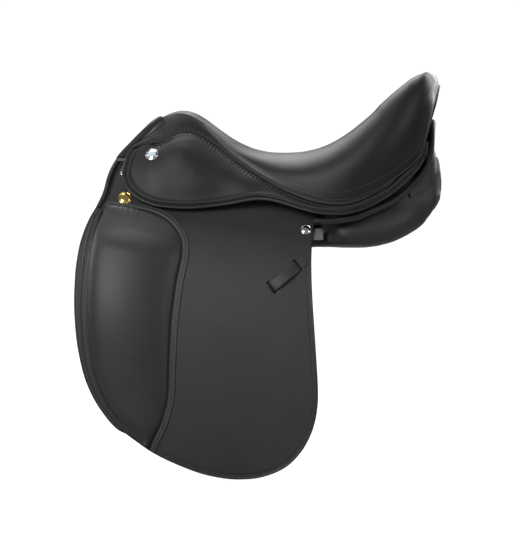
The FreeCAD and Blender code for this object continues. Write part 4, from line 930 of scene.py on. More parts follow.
def weave(name, base, scale=1500.0, rough=0.85):
    m, nt, b, co = new_mat(name)

    def wave(axis):
        w = nt.nodes.new("ShaderNodeTexWave")
        w.wave_type = "BANDS"
        w.bands_direction = axis
        w.inputs["Scale"].default_value = scale / 6.0
        w.inputs["Distortion"].default_value = 0.6
        w.inputs["Detail"].default_value = 1.0
        nt.links.new(co, w.inputs["Vector"])
        return w.outputs["Fac"]
    a, c = wave("X"), wave("Z")
    h = mathn(nt, "MAXIMUM", a, c)
    col = ramp(nt, mathn(nt, "MULTIPLY", h, 1.0), [(0.2, tuple(k * 0.55 for k in base)), (0.95, base)])
    nt.links.new(col, b.inputs["Base Color"])
    b.inputs["Roughness"].default_value = rough
    b.inputs["Sheen Weight"].default_value = 0.2
    nt.links.new(bump(nt, h, 0.5, 0.0005), b.inputs["Normal"])
    return m


def wood(name):
    m, nt, b, co = new_mat(name)
    mp = nt.nodes.new("ShaderNodeMapping")
    mp.inputs["Scale"].default_value = (8, 60, 260)
    nt.links.new(co, mp.inputs["Vector"])
    n = tex_noise(nt, mp.outputs[0], 1.0, 5.0, 0.6, 0.4)
    nt.links.new(ramp(nt, n, [(0.3, (0.30, 0.19, 0.10)), (0.55, (0.48, 0.33, 0.19)), (0.75, (0.62, 0.46, 0.29))]), b.inputs["Base Color"])
    b.inputs["Roughness"].default_value = 0.42
    nt.links.new(bump(nt, n, 0.15, 0.0004), b.inputs["Normal"])
    return m


def foam(name):
    m, nt, b, co = new_mat(name)
    n = tex_cells(nt, co, 900.0)
    nt.links.new(ramp(nt, n, [(0.0, (0.55, 0.50, 0.38)), (0.8, (0.82, 0.78, 0.66))]), b.inputs["Base Color"])
    b.inputs["Roughness"].default_value = 0.95
    nt.links.new(bump(nt, n, 0.5, 0.0006), b.inputs["Normal"])
    return m


BASE = (0.0150, 0.0175, 0.0165)
M_FLAP = leather("flap_leather", BASE, rough=0.50, grain=900, grain_amt=0.22, crease=0.10)
M_SEAT = leather("seat_leather", (0.0085, 0.0100, 0.0096), rough=0.42, grain=700, grain_amt=0.30, crease=0.10, spec=0.32)
M_SKIRT = leather("skirt_leather", (0.0095, 0.0112, 0.0107), rough=0.46, grain=820, grain_amt=0.26, crease=0.10, spec=0.34)
M_BLOCK = leather("block_leather", (0.0160, 0.0185, 0.0172), rough=0.46, grain=760, grain_amt=0.28, crease=0.16)
M_PANEL = leather("panel_leather", (0.0150, 0.0172, 0.0165), rough=0.50, grain=700, grain_amt=0.30, crease=0.18)
M_EDGE = leather("edge_leather", (0.0120, 0.0135, 0.0130), rough=0.38, grain=1100, grain_amt=0.15, crease=0.05)
M_THREAD = leather("thread", (0.085, 0.094, 0.090), rough=0.62, grain=2200, grain_amt=0.4, crease=0.0, edge=0.0)
M_BLACKWOOD = leather("black_lacquered_laminate", (0.010, 0.010, 0.010), rough=0.32, grain=260, grain_amt=0.08, crease=0.05, edge=0.2)
M_STEEL = metal("steel", (0.50, 0.51, 0.53), 0.34, 0.25)
M_NICKEL = metal("nickel", (0.86, 0.88, 0.90), 0.10)
M_BRASS = metal("brass", (0.90, 0.66, 0.24), 0.12)
M_WEB = weave("nylon_black", (0.030, 0.030, 0.030))
M_PALE = weave("nylon_pale", (0.17, 0.18, 0.178), 1800.0, 0.7)
M_WOOD = wood("laminate")
M_FOAM = foam("foam")


def enamel(name, base):
    m, nt, b, co = new_mat(name)
    n = tex_noise(nt, co, 260.0, 2.0, 0.5)
    nt.links.new(ramp(nt, n, [(0.3, tuple(c * 0.9 for c in base)), (0.7, base)]), b.inputs["Base Color"])
    b.inputs["Roughness"].default_value = 0.12
    b.inputs["Coat Weight"].default_value = 0.6
    nt.links.new(bump(nt, n, 0.03, 0.0003), b.inputs["Normal"])
    return m


M_ENAMEL = enamel("pale_enamel", (0.62, 0.74, 0.80))


def use(o, m, slot=None):
    o.data.materials.clear()
    o.data.materials.append(m)
    return o


def side_view(P):
    """Position (mm) of points seen square from the left at 4 m, measured on the middle plane."""
    k = 4000.0 / (4000.0 - np.abs(P[..., 1]))
    return P[..., 0] * k, 305.3 + (P[..., 2] - 305.3) * k, k


def outline_fit(ref, centre, line, a0, a1, taper, power):
    """Returns a map that draws a form out along rays from centre until its side outline lies on line."""
    cx, cz = centre

    def polar(P):
        X, Z, k = side_view(P)
        return np.hypot(X - cx, Z - cz), np.degrees(np.arctan2(Z - cz, X - cx)), X, Z, k

    L = smooth_path(line, 1.0)
    rl, al = np.hypot(L[:, 0] - cx, L[:, 1] - cz), np.degrees(np.arctan2(L[:, 1] - cz, L[:, 0] - cx))
    order = np.argsort(al)
    bins = np.arange(a0, a1 + 0.1, 1.5)
    want = np.interp(bins, al[order], rl[order])
    r, a = polar(np.asarray(ref).reshape(-1, 3))[:2]
    have = np.array([r[np.abs(a - b) < 1.5].max() if (np.abs(a - b) < 1.5).any() else np.nan for b in bins])
    ok = ~np.isnan(have)
    have = np.interp(bins, bins[ok], have[ok])
    ratio = want / have
    for _ in range(2):
        ratio[1:-1] = 0.5 * ratio[1:-1] + 0.25 * (ratio[2:] + ratio[:-2])
    ratio = np.clip(ratio, 0.94, 1.14)

    def apply(P):
        P = np.asarray(P, float)
        r, a, X, Z, k = polar(P)
        w = sstep(a0 - taper, a0, a) * (1 - sstep(a1, a1 + taper, a))
        q = np.clip(r / np.interp(a, bins, have), 0, 1.05) ** power
        f = 1 + (np.interp(a, bins, ratio) - 1) * q * w
        out = P.copy()
        out[..., 0] = (cx + (X - cx) * f) / k
        out[..., 2] = 305.3 + (cz + (Z - cz) * f - 305.3) / k
        return out

    return apply


def seat_both(o, base, mat, slot, body, replaces=(), blend=None):
    """Names and material for a left piece and its mirror image. Each is parented to its body's empty or, when blend is
    given, has its transform baked and stays unparented (the fold points in blend are not read). The CAD parts named in
    replaces are hidden on both sides. body is 'saddle' or a stem that takes _left / _right.
    """
    use(o, mat, slot)
    r = mirrored(o, base + "_right")
    o.name = o.data.name = base + "_left"
    for ob, sd in ((o, "left"), (r, "right")):
        if blend:
            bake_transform(ob)
        else:
            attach(ob, body if body == "saddle" else body + "_" + sd)
        if replaces:
            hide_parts(*[n + "_" + sd for n in replaces])
    return o, r


# ---------------------------------------------------------------- surfaces shared by the pieces

def fold_pair(F, R, up, down):
    """Start and end points of a bend about a fold line, in metres, on the left side."""
    F, R = np.array(F), np.array(R)
    m = (F + R) / 2
    d = np.array([R[0] - F[0], R[2] - F[2]])
    d /= np.linalg.norm(d)
    n = np.array([d[1], -d[0]])
    if n[1] > 0:
        n = -n
    s = np.array([m[0] - n[0] * up, -m[1], m[2] - n[1] * up])
    e = np.array([m[0] + n[0] * down, -m[1], m[2] + n[1] * down])
    return tuple(world(s)), tuple(world(e))


FLAP_BEND = ("flap",) + fold_pair(FLAP_HINGE_F, FLAP_HINGE_R, 6.0, 8.0)
SKIRT_BEND = ("skirt",) + fold_pair(SKIRT_HINGE_F, SKIRT_HINGE_R, 10.0, 16.0)
skirt_f = thin_plate([tuple(p) for p in SEAM[:-1]] + list(BAND_LOW) + list(SKIRT_LOW) + list(SKIRT_MID), 0.02)
seam2 = np.array([(p[0], p[2]) for p in SEAM])
band2 = np.array([(-166.5, 511.0), (-160.5, 507.6), (-154.0, 508.0), (-147.0, 511.9), (-138.6, 516.4), (-129.5, 520.4), (-121.0, 523.2), (-112.0, 524.3), (-103.5, 523.2), (-92.3, 519.0)] + [(p[0], p[2]) for p in BAND_LOW if p[0] > -80])
low2 = np.array([(p[0], p[2]) for p in SKIRT_LOW])


def boolean_cut(o, cutters):
    bpy.context.view_layer.objects.active = o
    for c in cutters:
        md = o.modifiers.new("cut", "BOOLEAN")
        md.operation = "DIFFERENCE"
        md.solver = "EXACT"
        md.object = c
    dg = bpy.context.evaluated_depsgraph_get()
    me = bpy.data.meshes.new_from_object(o.evaluated_get(dg))
    o.modifiers.clear()
    o.data = me
    me.polygons.foreach_set("use_smooth", [True] * len(me.polygons))
    for c in cutters:
        bpy.data.objects.remove(c)


# ---------------------------------------------------------------- flap: one sheet that bends along its fold

flap_top_edge = [(-190.0, 499.0), (-165.0, 504.5), (-130.0, 504.0), (-95.0, 497.0), (-60.0, 483.0), (-20.0, 461.0), (20.0, 435.0), (55.0, 417.0), (FLAP_REAR_TOP[3][0] - 1.0, 404.0)]
front_full = [(-190.0, 499.0), (-205.0, 488.0), (-216.5, 474.0), (-225.0, 456.0), (-230.5, 440.0), (-235.0, 424.0), (-243.5, 409.5)] + [p for p in FLAP_FRONT if p[1] < 404] + list(FLAP_BOTTOM) + list(FLAP_REAR_TOP[1:3]) + [(FLAP_REAR_TOP[3][0] - 1.0, 404.0)]
E_FLAP = closed_outline([front_full, flap_top_edge[::-1]], 2.4, 2)
L_FLAP = smooth_path(front_full, 2.0)
s_flap = arclen(L_FLAP)


def flap_detail(x, z, d):
    # rounded border, crease under the stitching, slow waves over the sheet
    v = -0.70 * np.exp(-((d - 3.4) / 0.8) ** 2) - 0.45 * np.exp(-((d - 5.8) / 0.9) ** 2)
    v = v + 1.4 * fbm(x, 0 * x, z, 95.0, 2) * sstep(10, 50, d) * sstep(0, 60, hinge_z(x) - z)
    v = v + 0.10 * fbm(x, 0 * x, z, 9.0, 2) * sstep(7, 20, d)
    return v


flap = sheet("flap", E_FLAP, [(-150, 420), (-100, 300), (-80, 180), (-70, 130)], side, FLAP_T, edge=1.9, band=(0.4, 0.8, 1.2, 1.8, 2.5, 3.2, 3.8, 4.6, 5.8, 7.6, 10.0, 13.0), inner=44, back_rings=10, detail=flap_detail)


def slot_box(a, b, w):
    a, b = np.array(a), np.array(b)
    u = (b - a) / np.linalg.norm(b - a)
    n = np.array([-u[1], u[0]])
    q = [a - u * 1.2 - n * w, b + u * 1.2 - n * w, b + u * 1.2 + n * w, a - u * 1.2 + n * w]
    c = (a + b) / 2
    y = -float(side(c[0], c[1]))
    V = [(p[0], y - 14, p[1]) for p in q] + [(p[0], y + 14, p[1]) for p in q]
    F = [(0, 1, 2, 3), (7, 6, 5, 4), (0, 4, 5, 1), (1, 5, 6, 2), (2, 6, 7, 3), (3, 7, 4, 0)]
    return mesh_object("cutter", world(V), F, smooth=False, weld=1e-6)


boolean_cut(flap, [slot_box(*KEEPER["slot1"], 1.9), slot_box(*KEEPER["slot2"], 1.9)])
seat_both(flap, "flap_sheet", M_FLAP, "leather", None, ("flap", "flap_top"), FLAP_BEND)


def inset_path(L, d, smooth=4):
    """Open path L moved to its left-hand or right-hand side by d (sign picks the side)."""
    T = np.gradient(L, axis=0)
    N = np.stack([T[:, 1], -T[:, 0]], 1)
    N /= np.linalg.norm(N, axis=1)[:, None]
    for _ in range(smooth):
        N[1:-1] = 0.5 * N[1:-1] + 0.25 * (N[2:] + N[:-2])
        N /= np.linalg.norm(N, axis=1)[:, None]
    return L + N * d


def flap_face(x, z):
    return side(x, z) - 0.30


c = E_FLAP.mean(0)
sgn = 1.0 if np.linalg.norm(inset_path(L_FLAP, 5.6)[len(L_FLAP) // 2] - c) < np.linalg.norm(L_FLAP[len(L_FLAP) // 2] - c) else -1.0
st = stitch_on("flap_st", inset_path(L_FLAP, sgn * 5.8)[4:-3], flap_face, lift=0.22, length=3.3, gap=1.5, r=0.52)
seat_both(st, "flap_edge_stitching", M_THREAD, "leather", None, (), FLAP_BEND)

q = inset_path(L_FLAP, sgn * 1.3)[1:-1]
pts = np.stack([q[:, 0], -(side(q[:, 0], q[:, 1]) - 1.9), q[:, 1]], 1)
pipe = tube_object("flroll", pts, 1.7, 2.25, up=(0, 1, 0), seg=12)
seat_both(pipe, "flap_edge_roll", M_EDGE, "leather", None, (), FLAP_BEND)

# a box of stitching round the two slots
k1, k2 = np.array(KEEPER["slot1"]), np.array(KEEPER["slot2"])
c1, c2 = k1.mean(0), k2.mean(0)
ax = (c2 - c1) / np.linalg.norm(c2 - c1)
nx = np.array([-ax[1], ax[0]])
half = 0.5 * np.linalg.norm(k1[0] - k1[1])
box_line = np.array([c1 - ax * 6.5 - nx * (half + 3.6), c2 + ax * 6.5 - nx * (half + 3.6), c2 + ax * 6.5 + nx * (half + 3.6), c1 - ax * 6.5 + nx * (half + 3.6), c1 - ax * 6.5 - nx * (half + 3.6)])
st = stitch_on("keeper_box", box_line, lambda x, z: side(x, z), lift=0.10, length=2.3, gap=1.0, r=0.34)
seat_both(st, "keeper_slot_stitching", M_THREAD, "leather", "flap")

# ---------------------------------------------------------------- knee block

PF_Z = np.array([p[1] for p in PAD_FRONT])[::-1]
PF_X = np.array([p[0] for p in PAD_FRONT])[::-1]
pbl = [p for p in PAD_BORDER if p[1] < 392]
PB_Z = np.array([p[1] for p in pbl])[::-1]
PB_X = np.array([p[0] for p in pbl])[::-1]
_pf, _pb = nspline(PF_Z, PF_X), nspline(PB_Z, PB_X)
L_BORDER = smooth_path(PAD_BORDER, 2.0)
s_border = arclen(L_BORDER)
L_PFRONT = smooth_path(PAD_FRONT, 2.0)
s_pfront = arclen(L_PFRONT)
inward = np.array([-210.0, 300.0])
g1 = inset_path(L_BORDER, 1.0)
out_sign = -1.0 if np.linalg.norm(g1[len(g1) // 2] - inward) < np.linalg.norm(L_BORDER[len(g1) // 2] - inward) else 1.0


def flange_path(w, w0):
    T = np.gradient(L_BORDER, axis=0)
    N = np.stack([T[:, 1], -T[:, 0]], 1) * out_sign
    N /= np.linalg.norm(N, axis=1)[:, None]
    ww = w0 + (w - w0) * sstep(20, 95, s_border)
    return L_BORDER + N * ww[:, None]


fl_out = flange_path(9.6, 4.0)
fl_out = fl_out[fl_out[:, 0] > -239.0]
tail = fl_out[-1]
E_BLOCK = closed_outline([list(map(tuple, L_PFRONT[::4])) + [tuple(L_PFRONT[-1])], [tuple(L_PFRONT[-1]), (-170.0, 46.5), tuple(tail)], [tuple(p) for p in fl_out[::-6]] + [tuple(fl_out[0])], [tuple(fl_out[0]), tuple(L_PFRONT[0])]], 2.0, 2)


def block_h(x, z):
    x, z = np.asarray(x, float), np.asarray(z, float)
    d = hinge_z(x) - z
    xf = _pf(np.clip(z, PF_Z[0], PF_Z[-1]).ravel()).reshape(z.shape)
    xr = _pb(np.clip(z, PB_Z[0], PB_Z[-1]).ravel()).reshape(z.shape)
    t = np.clip((x - xf) / np.maximum(xr - xf, 1.0), 0, 1)
    across = np.maximum(np.sin(np.pi * t ** 0.85), 0) ** 0.55
    return BLOCK_H * across * sstep(-4, 60, d) * (1 - 0.55 * sstep(130, 345, d))


def block_detail(x, z, de):
    Q = np.stack([x, z], 1)
    db, sb = dist_to(Q, L_BORDER)
    df, sf = dist_to(Q, L_PFRONT)
    # inside or outside the sewn border
    i = np.clip((sb / s_border[-1] * (len(L_BORDER) - 1)).astype(int), 0, len(L_BORDER) - 2)
    T = L_BORDER[i + 1] - L_BORDER[i]
    W = Q - L_BORDER[i]
    outside = ((W[:, 0] * T[:, 1] - W[:, 1] * T[:, 0]) * out_sign) > 0
    inside = np.where(outside, 0.0, 1.0)
    prof = block_h(x, z)
    # the padding starts a little way in from both seams and rises steeply
    rise = (1 - np.exp(-(db / 7.0) ** 1.3)) * (1 - np.exp(-(np.maximum(df - 1.5, 0) / 6.0) ** 1.3))
    low = 3.2 * (1 - np.exp(-(db / 4.0) ** 1.4)) * (1 - np.exp(-(np.maximum(df - 1.5, 0) / 3.5) ** 1.4))
    v = inside * (0.55 * prof * rise + 0.45 * prof * np.minimum(1, db / 3.0) + low * (0.35 + 0.65 * (1 - np.clip(prof / 8.0, 0, 1))))
    v = v - 1.0 * np.exp(-(db / 1.3) ** 2)
    # gathers along both seams and soft wrinkles
    top = 1 - sstep(20, 120, sb)
    v = v + inside * (0.22 + 0.5 * top) * np.exp(-(db / 8.0) ** 2) * (1 - np.exp(-(db / 1.5) ** 2)) * np.cos(2 * np.pi * sb / 7.5 + 2.0 * np.sin(sb / 17.0))
    v = v + inside * pucker(df - 2.0, sf, amp=0.42, pitch=5.6, reach=5.5, groove=0.9, gw=1.3)
    g = fbm(x * 0.7 + z * 0.7, 0 * x, (z - x) * 0.35, 26.0, 3)
    wr = 1.1 * (0.35 + 1.2 * np.exp(-(((x + 225) / 35) ** 2 + ((z - 390) / 45) ** 2)) + 0.5 * np.exp(-(((x + 150) / 30) ** 2 + ((z - 365) / 40) ** 2)) + 0.6 * np.exp(-((z - 95) / 45.0) ** 2))
    v = v + inside * wr * g * (1 - np.exp(-(db / 9.0) ** 2)) * (1 - np.exp(-(df / 9.0) ** 2))
    # piped front edge
    v = v + 0.9 * np.exp(-((df - 0.9) / 1.1) ** 2)
    # flange
    v = v + (1 - inside) * (0.25 * np.exp(-((de - 1.0) / 0.8) ** 2))
    return v


E2 = E_BLOCK
mid_z = np.array([385, 330, 260, 190, 130, 85.0])
mid = [(0.5 * (float(_pf(z)[0]) + float(_pb(z)[0])), z) for z in mid_z]
block = sheet("block", E2, mid, lambda x, z: side(x, z) + 1.9, 1.6, edge=0.8, band=(0.5, 1.0, 1.6, 2.4, 3.2, 4.0, 4.8, 5.6, 6.4, 7.2, 8.0, 8.8, 9.6, 10.4, 11.4, 12.6, 14.0, 16.0, 18.5, 21.5), inner=26, back_rings=6, detail=block_detail, back=lambda x, z: side(x, z) + 0.3)
seat_both(block, "knee_block_cover", M_BLOCK, "block_leather", None, ("knee_block",), FLAP_BEND)
for nm, off in (("knee_block_stitching_a", 3.2), ("knee_block_stitching_b", 6.6)):
    fp = flange_path(off, off * 0.42)[6:-2]
    keep = fp[:, 0] > -236
    st = stitch_on(nm, fp[keep], lambda x, z: side(x, z) + 1.95, lift=0.18, length=3.3, gap=1.4, r=0.50)
    seat_both(st, nm, M_THREAD, "leather", None, (), FLAP_BEND)
fp = inset_path(L_PFRONT, 1.0)
cin = np.linalg.norm(fp[len(fp) // 2] - np.array([-150, 250])) < np.linalg.norm(L_PFRONT[len(fp) // 2] - np.array([-150, 250]))
fp = inset_path(L_PFRONT, 0.6 if cin else -0.6)[2:-2]
pts = np.stack([fp[:, 0], -(side(fp[:, 0], fp[:, 1]) + 2.6), fp[:, 1]], 1)
pipe = tube_object("pipe", pts, 1.25, 1.25, up=(0, 1, 0), seg=10)
seat_both(pipe, "knee_block_piping", M_EDGE, "leather", None, (), FLAP_BEND)

# ---------------------------------------------------------------- keeper for the stirrup leather

def keeper():
    L = np.linalg.norm(c2 - c1)
    w = half - 0.6
    d = np.concatenate([np.linspace(-3.0, 0.2, 5), np.linspace(1.2, L - 1.2, 26), np.linspace(L - 0.2, L + 3.0, 5)])
    o = np.interp(d, [-3.0, -1.2, 0.6, L * 0.12, L * 0.3, L * 0.5, L * 0.7, L * 0.88, L - 0.6, L + 1.2, L + 3.0], [-3.5, -2.4, 1.8, 4.0, 6.0, 6.6, 6.0, 4.0, 1.8, -2.4, -3.5])
    for _ in range(2):
        o[1:-1] = 0.5 * o[1:-1] + 0.25 * (o[2:] + o[:-2])
    rings = []
    t = 2.4
    phi = np.linspace(0, math.pi, 5)
    for k in range(len(d)):
        base = c1 + ax * d[k]
        ring = []
        ws = [(v, 0.5) for v in np.linspace(-w + 0.9, w - 0.9, 9)]
        prof = [(v, t / 2 - 0.25 * math.exp(-((abs(v) - (w - 2.0)) / 0.5) ** 2)) for v, _ in ws]
        prof += [(w - 0.9 + 0.9 * math.sin(p), t / 2 * math.cos(p)) for p in phi[1:]]
        prof += [(v, -t / 2) for v in np.linspace(w - 0.9, -w + 0.9, 5)[1:]]
        prof += [(-w + 0.9 - 0.9 * math.sin(p), -t / 2 * math.cos(p)) for p in phi[1:-1]]
        for v, hh in prof:
            q = base + nx * v
            ring.append((q[0], -(float(side(q[0], q[1])) + o[k] - t / 2 + hh), q[1]))
        rings.append(ring)
    rings = [np.array(r) for r in rings]
    V = np.concatenate([world(r) for r in rings])
    m = len(rings[0])
    F = grid_faces(len(rings), m, closed_c=True)
    F.append(tuple(range(m))[::-1])
    F.append(tuple((len(rings) - 1) * m + j for j in range(m)))
    return mesh_object("keeper", V, F, weld=0.00001)


ko = keeper()
seat_both(ko, "leather_keeper_strap", M_BLOCK, "leather", "flap", ("leather_keeper",))
LK = np.linalg.norm(c2 - c1)
for nm, v in (("keeper_stitching_a", -1), ("keeper_stitching_b", 1)):
    d = np.linspace(3.0, LK - 3.0, 40)
    o = np.interp(d, [0.6, LK * 0.12, LK * 0.3, LK * 0.5, LK * 0.7, LK * 0.88, LK - 0.6], [1.8, 4.0, 6.0, 6.6, 6.0, 4.0, 1.8])
    q = c1[None] + ax[None] * d[:, None] + nx[None] * v * (half - 2.7)
    P = np.stack([q[:, 0], -(side(q[:, 0], q[:, 1]) + o), q[:, 1]], 1)
    Nn = surf_normals(side, q)
    st = stitches(nm, P, Nn, length=2.2, gap=0.9, r=0.33, lift=0.05)
    seat_both(st, nm, M_THREAD, "leather", "flap")
# the strap's stitched point, on the flap beyond the upper slot
pt = np.array(KEEPER["point"])
tipc = c2 + ax * 4.2
tip = [tuple(tipc - nx * (half - 0.9)), tuple(c2 + ax * 10.0 - nx * (half - 1.2)), tuple(c2 + ax * 17.0), tuple(c2 + ax * 10.0 + nx * (half - 1.2)), tuple(tipc + nx * (half - 0.9))]
E_TIP = closed_outline([tip, [tip[-1], tip[0]]], 0.8, 2)
tipo = sheet("tip", E_TIP, [tuple(c2 + ax * 7.0), tuple(c2 + ax * 11.0)], lambda x, z: side(x, z) + 1.9, 1.9, edge=0.8, band=(0.4, 0.9, 1.5, 2.1), inner=4, back_rings=2, detail=lambda x, z, d: -0.25 * np.exp(-((d - 2.0) / 0.5) ** 2))
seat_both(tipo, "keeper_point", M_BLOCK, "leather", "flap")
q = even_path(np.array([tipc - nx * (half - 2.6) + ax * 1.0, c2 + ax * 9.6 - nx * (half - 2.9), c2 + ax * 14.4, c2 + ax * 9.6 + nx * (half - 2.9), tipc + nx * (half - 2.6) + ax * 1.0]), 0.5)
st = stitch_on("tipst", q, lambda x, z: side(x, z) + 1.9, lift=0.05, length=2.0, gap=0.8, r=0.32)
seat_both(st, "keeper_point_stitching", M_THREAD, "leather", "flap")

# ---------------------------------------------------------------- under flap

sf = [p for p in SWEAT_FRONT if p[1] < 455]
uf_segs = [
    sf + [(-190, 64.0), (-175, 60.5), (-120, 50), (-60, 48), (-10, 56), (30, 76), (52, 108), (62, 150), (66, 220), (64, 300), (60, 372)],
    [(60, 372), (20, 381), (-30, 388), (-72, 391)],
    [(-72, 391), (-84, 376), (-110, 370), (-170, 373), (-214, 378)],
    [(-214, 378), (-227, 389), (-233.5, 410), (-231, 434), (sf[0][0] + 7.0, sf[0][1])],
    [(sf[0][0] + 7.0, sf[0][1]), sf[0]],
]
E_UF = closed_outline(uf_segs, 3.0, 2)


def uf_detail(x, z, d):
    return -0.35 * np.exp(-((d - 3.2) / 0.7) ** 2) + 0.8 * fbm(x, 0 * x, z, 80.0, 2) * sstep(8, 30, d)


uf = sheet("uf", E_UF, [(-240, 425), (-246, 400), (-238, 350), (-180, 280), (-90, 240), (-20, 260), (0, 330)], lambda x, z: side(x, z) - 15.6, 3.2, edge=1.5, band=(0.5, 1.2, 2.0, 2.8, 3.6, 4.6, 5.6, 6.6), inner=24, back_rings=8, detail=uf_detail)
seat_both(uf, "under_flap_sheet", M_FLAP, "leather", "saddle", ("under_flap",))
q = smooth_path(sf + [(-190, 64.0), (-175, 60.5), (-120, 50), (-60, 48), (-10, 56), (30, 76), (52, 108), (62, 150), (66, 220), (64, 300), (60, 368)], 2.0)
g = inset_path(q, 1.0)
sg = 1.0 if np.linalg.norm(g[len(g) // 2] - E_UF.mean(0)) < np.linalg.norm(q[len(g) // 2] - E_UF.mean(0)) else -1.0
st = stitch_on("ufst", inset_path(q, sg * 4.4)[3:-3], lambda x, z: side(x, z) - 15.7, lift=0.12, length=3.0, gap=1.3, r=0.38)
seat_both(st, "under_flap_stitching", M_THREAD, "leather", "saddle")

# ---------------------------------------------------------------- skirt: root and lower part in one piece

LOW = smooth_path([(-171.0, 515.8), (-183.0, 511.5)] + [tuple(p) for p in low2], 2.0)
s_low = arclen(LOW)
UP = smooth_path([(-166.0, 513.0)] + [tuple(p + np.array([0, 1.8])) for p in band2[1:]] + [(208.0, 452.5), (227.0, 469.0), (239.5, 481.0), (245.5, 491.0)], 2.0)
s_up = arclen(UP)
i_low = np.argmin(np.linalg.norm(LOW - np.array([-158.6, 410.57]), axis=1))
i_up = np.argmin(np.linalg.norm(UP - np.array([-131.0, 521.5]), axis=1))
i_low2 = np.argmin(np.linalg.norm(LOW - np.array([187.77, 420.63]), axis=1))
i_up2 = np.argmin(np.linalg.norm(UP - np.array([187.77, 436.0]), axis=1))
mp = np.interp(s_low, [0, s_low[i_low], s_low[i_low2], s_low[-1]], [0, s_up[i_up], s_up[i_up2], s_up[-1]])
for _ in range(40):
    mp[1:-1] = 0.5 * mp[1:-1] + 0.25 * (mp[2:] + mp[:-2])
UPM = np.stack([np.interp(mp, s_up, UP[:, k]) for k in (0, 1)], 1)
L_BAND2 = smooth_path([tuple(p) for p in band2], 2.0)


def skirt_detail(x, z, da, db, s):
    wide = np.clip((da + db) / 40.0, 0, 1)
    d, _ = dist_to(np.stack([x, z], 1), LOW)
    v = 0.9 * np.exp(-((d - 1.4) / 1.3) ** 2) - 1.1 * np.exp(-((d - 4.4) / 1.0) ** 2)
    v = v + 2.1 * np.exp(-((d - 9.0) / 3.4) ** 2) * (0.35 + 0.65 * wide) + wide * 1.3 * sstep(13.0, 40.0, d)
    e, se = dist_to(np.stack([x, z], 1), L_BAND2)
    lim = sstep(12, 30, da + db)
    v = v + lim * pucker(e, se, amp=2.0, pitch=5.4, reach=5.5, groove=0.0)
    v = v + lim * 1.3 * sstep(0, 9, e) * np.exp(-((e - 11.0) / 15.0) ** 2)
    v = v + 1.0 * fbm(x, 0 * x, z, 34.0, 3) * lim * sstep(6, 14, d)
    v = v + 0.22 * np.exp(-((d - 6.0) / 3.0) ** 2) * np.cos(2 * np.pi * s / 6.1 + np.sin(s / 19.0))
    return v


sk = ribbon("skirt", LOW, UPM, skirt_f, SKIRT_T, ((0.5, 1.0, 1.6, 2.2, 2.8, 3.5, 4.2, 5.0, 6.0, 7.2, 8.6, 10.2, 12.0), 34), r=2.4, detail=skirt_detail)
seat_both(sk, "skirt_cover", M_SKIRT, "leather", None, ("skirt", "skirt_root"), SKIRT_BEND)


def skirt_at(off):
    return lambda x, z: skirt_f(x, z) + off


g = inset_path(LOW, 1.0)
sgl = 1.0 if np.linalg.norm(g[len(g) // 2] - UPM[len(g) // 2]) < np.linalg.norm(LOW[len(g) // 2] - UPM[len(g) // 2]) else -1.0
st = stitch_on("skst", inset_path(LOW, sgl * 4.7)[6:-6], skirt_at(-1.05), lift=0.45, length=3.3, gap=1.4, r=0.52)
seat_both(st, "skirt_stitching", M_THREAD, "leather", None, (), SKIRT_BEND)
q = inset_path(LOW, sgl * 1.5)[2:-2]
pts = np.stack([q[:, 0], -(skirt_f(q[:, 0], q[:, 1]) + 0.1), q[:, 1]], 1)
pipe = tube_object("skpipe", pts, 1.9, 1.9, up=(0, 1, 0), seg=12)
seat_both(pipe, "skirt_piping", M_EDGE, "leather", None, (), SKIRT_BEND)

# ---------------------------------------------------------------- padded band between skirt and seat

def matched(A, B, step):
    A = smooth_path(A, step)
    B = smooth_path(B, step)
    n = max(len(A), len(B))
    return even_path(A, n=n), even_path(B, n=n)


seam_in = [tuple(p) for p in seam2 if p[0] < 196] + [(205.0, 452.8)]
BA, BB = matched([(-195.0, 500.6), (-186.0, 503.0), (-176.0, 505.4), (-166.5, 506.8)] + [tuple(p) for p in band2[1:]] + [(203.0, 446.5)], [(-196.3, 502.4), (-185.0, 512.8), (-172.0, 525.2), (-161.0, 537.0)] + [(-155.0, 545.2), (-149.0, 549.3)] + seam_in[1:], 2.0)


def band_detail(x, z, da, db, s):
    L = np.maximum(da + db, 1.0)
    t = da / L
    amp = np.clip(L * 0.16, 0.8, 3.4)
    v = amp * bulge(t, 0.75) - 0.4
    v = v + pucker(da, s, amp=1.7, pitch=5.4, reach=5.0, groove=1.5, gw=1.5)
    v = v + 0.6 * fbm(x, 0 * x, z, 22.0, 2) * bulge(t, 1.0)
    return v


bd = ribbon("band", BA, BB, lambda x, z: skirt_f(x, z) + 1.2 + 2.4 * (1 - sstep(-172, -150, x)), 3.6, ((0.4, 0.9, 1.5, 2.2, 3.0, 4.0), 12), r=1.4, detail=band_detail)
seat_both(bd, "seat_band_pad", M_SKIRT, "leather", "saddle", ("seat_band",))
st = stitch_on("bst", L_BAND2[3:-3] + np.array([0.0, -1.1]), skirt_at(0.9), lift=0.3, length=3.6, gap=1.6, r=0.58)
seat_both(st, "seat_band_stitching", M_THREAD, "leather", "saddle")

# ---------------------------------------------------------------- seat

